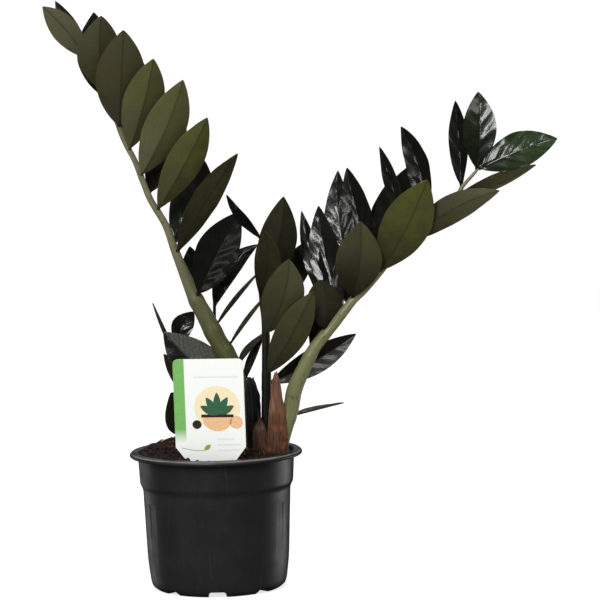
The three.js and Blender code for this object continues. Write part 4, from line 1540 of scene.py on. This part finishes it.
@dataclass
class PlantLabel:
    """The plastic plant label: a card with a tapering stake, and a print of its own on the front."""

    width: float = 49.2
    top: float = 164.0
    shoulder: float = 103.6
    stake: float = 15.0
    tip: float = 66.0
    thick: float = 0.8
    lean: float = 0.8
    yaw: float = 12.0
    x: float = -2.1
    y: float = -42.0
    corner: float = 3.6  # rounding of the top corners
    ink: float = 0.04  # how far the print stands proud
    clear: tuple[float, float] = (16.0, 1.5)  # how far in front of it and behind it no crumbs lie
    clear_half: float = 20.0  # and how far to its left and right

    def place(self) -> Matrix:
        """Returns where the card's own frame stands, in millimetres."""
        return (Matrix.Translation((self.x, self.y, self.shoulder)) @ Matrix.Rotation(math.radians(-self.yaw), 4, "Z")
                @ Matrix.Rotation(math.radians(-self.lean), 4, "Y") @ Matrix.Translation((0, 0, -self.shoulder)))

    def card(self) -> np.ndarray:
        """Draws the card and its stake.

        Returns:
            Their outline as x and z, anticlockwise seen from the front.
        """
        half, s = self.width / 2, self.shoulder
        right = [(2, self.tip), (self.stake / 2, s - 16), (self.stake / 2 + 10, s - 9), (half, s)]
        angles = np.linspace(0, math.pi / 2, 8)
        arc = [(half - self.corner + self.corner * math.cos(a), self.top - self.corner + self.corner * math.sin(a))
               for a in angles]
        one = np.array(right + arc)
        return np.vstack([one, (one * (-1, 1))[::-1]])

    @staticmethod
    def disc(x: float, z: float, rx: float, rz: float, first: float = 0.0, last: float = 360.0) -> np.ndarray:
        """An ellipse, or the part of it between two angles.

        Args:
            x: its middle.
            z: its middle.
            rx: its half width.
            rz: its half height.
            first: angle at which it starts, in degrees.
            last: angle at which it ends.

        Returns:
            Its outline.
        """
        angles = np.radians(np.linspace(first, last, 40, endpoint=last - first < 360))
        return np.column_stack([rx * np.cos(angles), rz * np.sin(angles)]) + (x, z)

    @staticmethod
    def petal(x: float, z: float, length: float, width: float, heading: float) -> np.ndarray:
        """A pointed leaf shape.

        Args:
            x: its base.
            z: its base.
            length: from base to tip.
            width: across its middle.
            heading: which way it points, in degrees from the right.

        Returns:
            Its outline.
        """
        share = np.linspace(0, 1, 14)
        bulge = width / 2 * np.sin(math.pi * share) ** 0.8
        one = np.column_stack([share * length, -bulge])
        flat = np.vstack([one, (one * (1, -1))[::-1][1:-1]])
        c, s = math.cos(math.radians(heading)), math.sin(math.radians(heading))
        return flat @ np.array([[c, s], [-s, c]]) + (x, z)

    @staticmethod
    def bar(x0: float, x1: float, z0: float, z1: float) -> np.ndarray:
        """Returns the outline of an upright rectangle."""
        return np.array([(x0, z0), (x1, z0), (x1, z1), (x0, z1)], float)

    def prints(self) -> list[tuple[np.ndarray, Ink, float]]:
        """Lays out the print on the front.

        Returns:
            The outline of each patch, its ink, and how many layers of ink it stands proud.
        """
        half = self.width / 2
        stripe = np.vstack([[(-half + 0.05, 107.0), (-16.8, 107.0), (-16.8, self.top - 0.05)],
                            [(-half + self.corner - self.corner * math.sin(a),
                              self.top - 0.05 - self.corner + self.corner * math.cos(a))
                             for a in np.linspace(0, math.pi / 2, 8)]])
        prints = [
            (stripe, Ink.FRESH_GREEN, 1.0),
            (self.disc(5.5, 130.5, 16.0, 15.0), Ink.CREAM, 1.0),
            (self.disc(5.5, 124.0, 10.5, 9.5, 180, 360), Ink.PEACH, 2.0),
            (self.disc(18.5, 120.5, 4.6, 4.4), Ink.PEACH, 2.0),
            (self.disc(-9.0, 119.2, 3.2, 3.0), Ink.DARK_BROWN, 2.0),
            (self.bar(-5.8, 16.8, 124.0, 126.0), Ink.DARK_BROWN, 3.0),
        ]
        for i, heading in enumerate((28, 58, 90, 122, 152)):
            leaf = self.petal(5.5, 125.6, 15.5 - 1.1 * abs(i - 2), 5.2, heading)
            prints.append((leaf, Ink.DARK_GREEN, 2.5 + 0.2 * i))
        for z, x1 in ((109.0, 17.0), (105.2, 21.5), (101.4, 20.0)):
            prints.append((self.bar(5.0, x1, z - 0.55, z + 0.55), Ink.PALE_GREY, 1.0))
        prints.append((self.bar(-10.5, 21.0, 151.0, 152.2), Ink.PALE_GREY, 1.0))
        prints.append((self.petal(-4.6, 101.6, 6.0, 3.0, 38), Ink.LEAF_GREEN, 2.0))
        curve = [(x, 103.2 - 2.0 * math.sin((x + 20.5) / 17 * math.pi * 0.6)) for x in np.linspace(-20.5, -4.0, 14)]
        line = np.array(curve)
        prints.append((np.vstack([line - (0, 0.22), (line + (0, 0.22))[::-1]]), Ink.LEAF_GREEN, 1.0))
        return prints

    def build(self) -> bpy.types.Object:
        """Builds and dresses the card with its print.

        Returns:
            The piece.
        """
        sketch, inks = Sketch(), list(Ink)
        front = -self.thick / 2
        sketch.plate(self.card(), front, self.thick / 2, inks.index(Ink.BARE))
        for outline, ink, layer in self.prints():
            sketch.plate(outline, front - self.ink * layer, front + 0.02, inks.index(ink))
        piece = sketch.to_object("label_card_and_print", [ink.value.material() for ink in inks], 40, self.place())
        return attach(piece, "label", "label_plastic")


# ------------------------------------------------------------------------------------------------ studio


@dataclass
class Studio:
    """The camera, the pale table and the soft lights."""

    eye: tuple[float, float, float] = (60.8, -2000.0, 377.0)
    aim: tuple[float, float, float] = (60.8, 0.0, 199.0)
    roll: float = 1.3
    lens: float = 174.0  # 2900 px of focal length at 600 px of width, on a 36 mm sensor
    middle: tuple[float, float, float] = (60.0, 0.0, 220.0)  # what the lamps face
    # Name, azimuth, elevation, width and height, radiance. The pot mirrors the three lamps of the table.
    lamps: tuple[tuple[str, float, float, tuple[float, float], float], ...] = (
        ("softbox_window", -17, 29, (270, 880), 14.0), ("softbox_fill", 40, 34, (520, 420), 3.0),
        ("strip_side", -60, 24, (90, 520), 9.0), ("softbox_back", 180, 42, (700, 500), 5.0),
        ("table_front", -53, -10, (350, 260), 0.9), ("table_left", -132, -16, (900, 560), 0.5),
        ("table_right", 122, -16, (900, 560), 1.2),
    )
    ambient: float = 0.5

    def camera(self) -> None:
        """Sets up the camera at the fitted viewpoint."""
        data = bpy.data.cameras.new("camera")
        data.sensor_width, data.lens, data.clip_end = 36.0, self.lens, 30.0
        camera = bpy.data.objects.new("camera", data)
        forward = (Vector(self.aim) - Vector(self.eye)).normalized()
        right = forward.cross(Vector((0, 0, 1))).normalized()
        up = right.cross(forward)
        c, s = math.cos(math.radians(self.roll)), math.sin(math.radians(self.roll))
        turned_right, turned_up = right * c - up * s, right * s + up * c
        turn = Matrix((turned_right, turned_up, -forward)).transposed().to_4x4()
        camera.matrix_world = Matrix.Translation(Vector(self.eye) * MM) @ turn
        bpy.context.scene.collection.objects.link(camera)
        bpy.context.scene.camera = camera

    def table(self) -> None:
        """Lays the round table, whose edge sweeps up into the wall of a pale tent on every side.

        The even light of the tent comes from the world, so the waxy leaves and the pot mirror the softboxes alone.
        """
        line = [(0.0, 0.0), (300.0, 0.0), (2200.0, 0.0)]
        line += [(2200 + 600 * math.sin(a), 600 - 600 * math.cos(a)) for a in np.linspace(0.1, math.pi / 2, 14)]
        line += [(2800.0, 1100.0)]
        angles = np.linspace(0, FULL_TURN, 96, endpoint=False)
        rings = np.array([np.column_stack([r * np.cos(angles), r * np.sin(angles), np.full(96, z)]) for r, z in line])
        sketch = Sketch()
        sketch.rings(rings, rings[:, :, :2], 0, capped=False)
        tent = sketch.to_object("table_and_tent", [OpalTable().material()], 60)
        tent.visible_glossy = tent.visible_diffuse = tent.visible_shadow = False

    def lamp(self, name: str, azimuth: float, elevation: float, size: tuple[float, float], radiance: float,
             distance: float = 1500.0) -> None:
        """Hangs one softbox, facing the plant.

        Args:
            name: the lamp's name.
            azimuth: where it hangs, in degrees from the front, positive to the right.
            elevation: how high it hangs, in degrees.
            size: width and height of its face, in millimetres.
            radiance: how bright its face is, where 1 is white.
            distance: from the middle of the plant, in millimetres.
        """
        around, up = math.radians(azimuth), math.radians(elevation)
        way = Vector((math.sin(around) * math.cos(up), -math.cos(around) * math.cos(up), math.sin(up)))
        data = bpy.data.lights.new(name, "AREA")
        data.shape, data.size, data.size_y = "RECTANGLE", size[0] * MM, size[1] * MM
        data.energy = 4 * data.size * data.size_y * radiance  # Blender divides by four times the area
        lamp = bpy.data.objects.new(name, data)
        lamp.location = (Vector(self.middle) + way * distance) * MM
        lamp.rotation_euler = (-way).to_track_quat("-Z", "Y").to_euler()
        bpy.context.scene.collection.objects.link(lamp)

    def build(self) -> None:
        """Sets up camera, table, lights and the dim room."""
        self.camera()
        self.table()
        for lamp in self.lamps:
            self.lamp(*lamp)
        world = bpy.data.worlds.new("dim_room")
        world.use_nodes = True
        feed(world.node_tree.nodes["Background"], {"Color": (1.0, 1.0, 1.0, 1.0), "Strength": self.ambient})
        world.cycles_visibility.glossy = False
        bpy.context.scene.world = world
        bpy.context.scene.view_settings.view_transform = "Standard"


# ------------------------------------------------------------------------------------------------ the plant


FEET = ((28, 12, 6.0), (35, -1, 4.2), (44.6, -5, 5.4), (8, 20, 4.4), (30, 3.5, 5.0), (31, -9, 4.5),
        (42.6, -12, 6.5))  # x, y and radius of what stands in the soil


def taken(x: float, y: float) -> bool:
    """Tells whether a place on the soil is taken.

    Args:
        x: first coordinate, in millimetres.
        y: second coordinate.

    Returns:
        True inside the foot of a stem or of a sheath, or where the label stands.
    """
    if any(math.hypot(x - foot_x, y - foot_y) < radius for foot_x, foot_y, radius in FEET):
        return True
    label = PlantLabel()
    yaw = math.radians(-label.yaw)
    dx, dy = x - label.x, y - label.y
    front, back = label.clear
    return (abs(dx * math.cos(yaw) + dy * math.sin(yaw)) < label.clear_half
            and -front < dy * math.cos(yaw) - dx * math.sin(yaw) < back)


def main() -> None:
    """Builds every piece, reports it and sets up the studio."""
    logging.basicConfig(level=logging.INFO, format="%(name)s: %(message)s")
    detail = Detail.FULL
    top, underside = WaxyLeafTop().material(), MattLeafUnderside().material()
    pieces = [NurseryPot().build(MouldedPolypropylene(), detail), Peat().build(DampPeat(), taken, detail),
              PlantLabel().build()]
    pieces += [frond.build(top, underside, detail) for frond in (LEFT_FROND, MIDDLE_FROND, RIGHT_FROND, SHORT_FROND)]
    pieces += [sheath.build(detail) for sheath in SHEATHS]
    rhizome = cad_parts["rhizome"]
    tuber = TuberSkin().material()
    for slot in rhizome.material_slots:
        slot.material = tuber
    pieces.append(rhizome)
    for piece in pieces:
        log.info("%s: %d faces, finishes %s", piece.name, len(piece.data.polygons),
                 ", ".join(slot.material.name for slot in piece.material_slots))
    Studio().build()


if __name__ == "__main__":
    main()
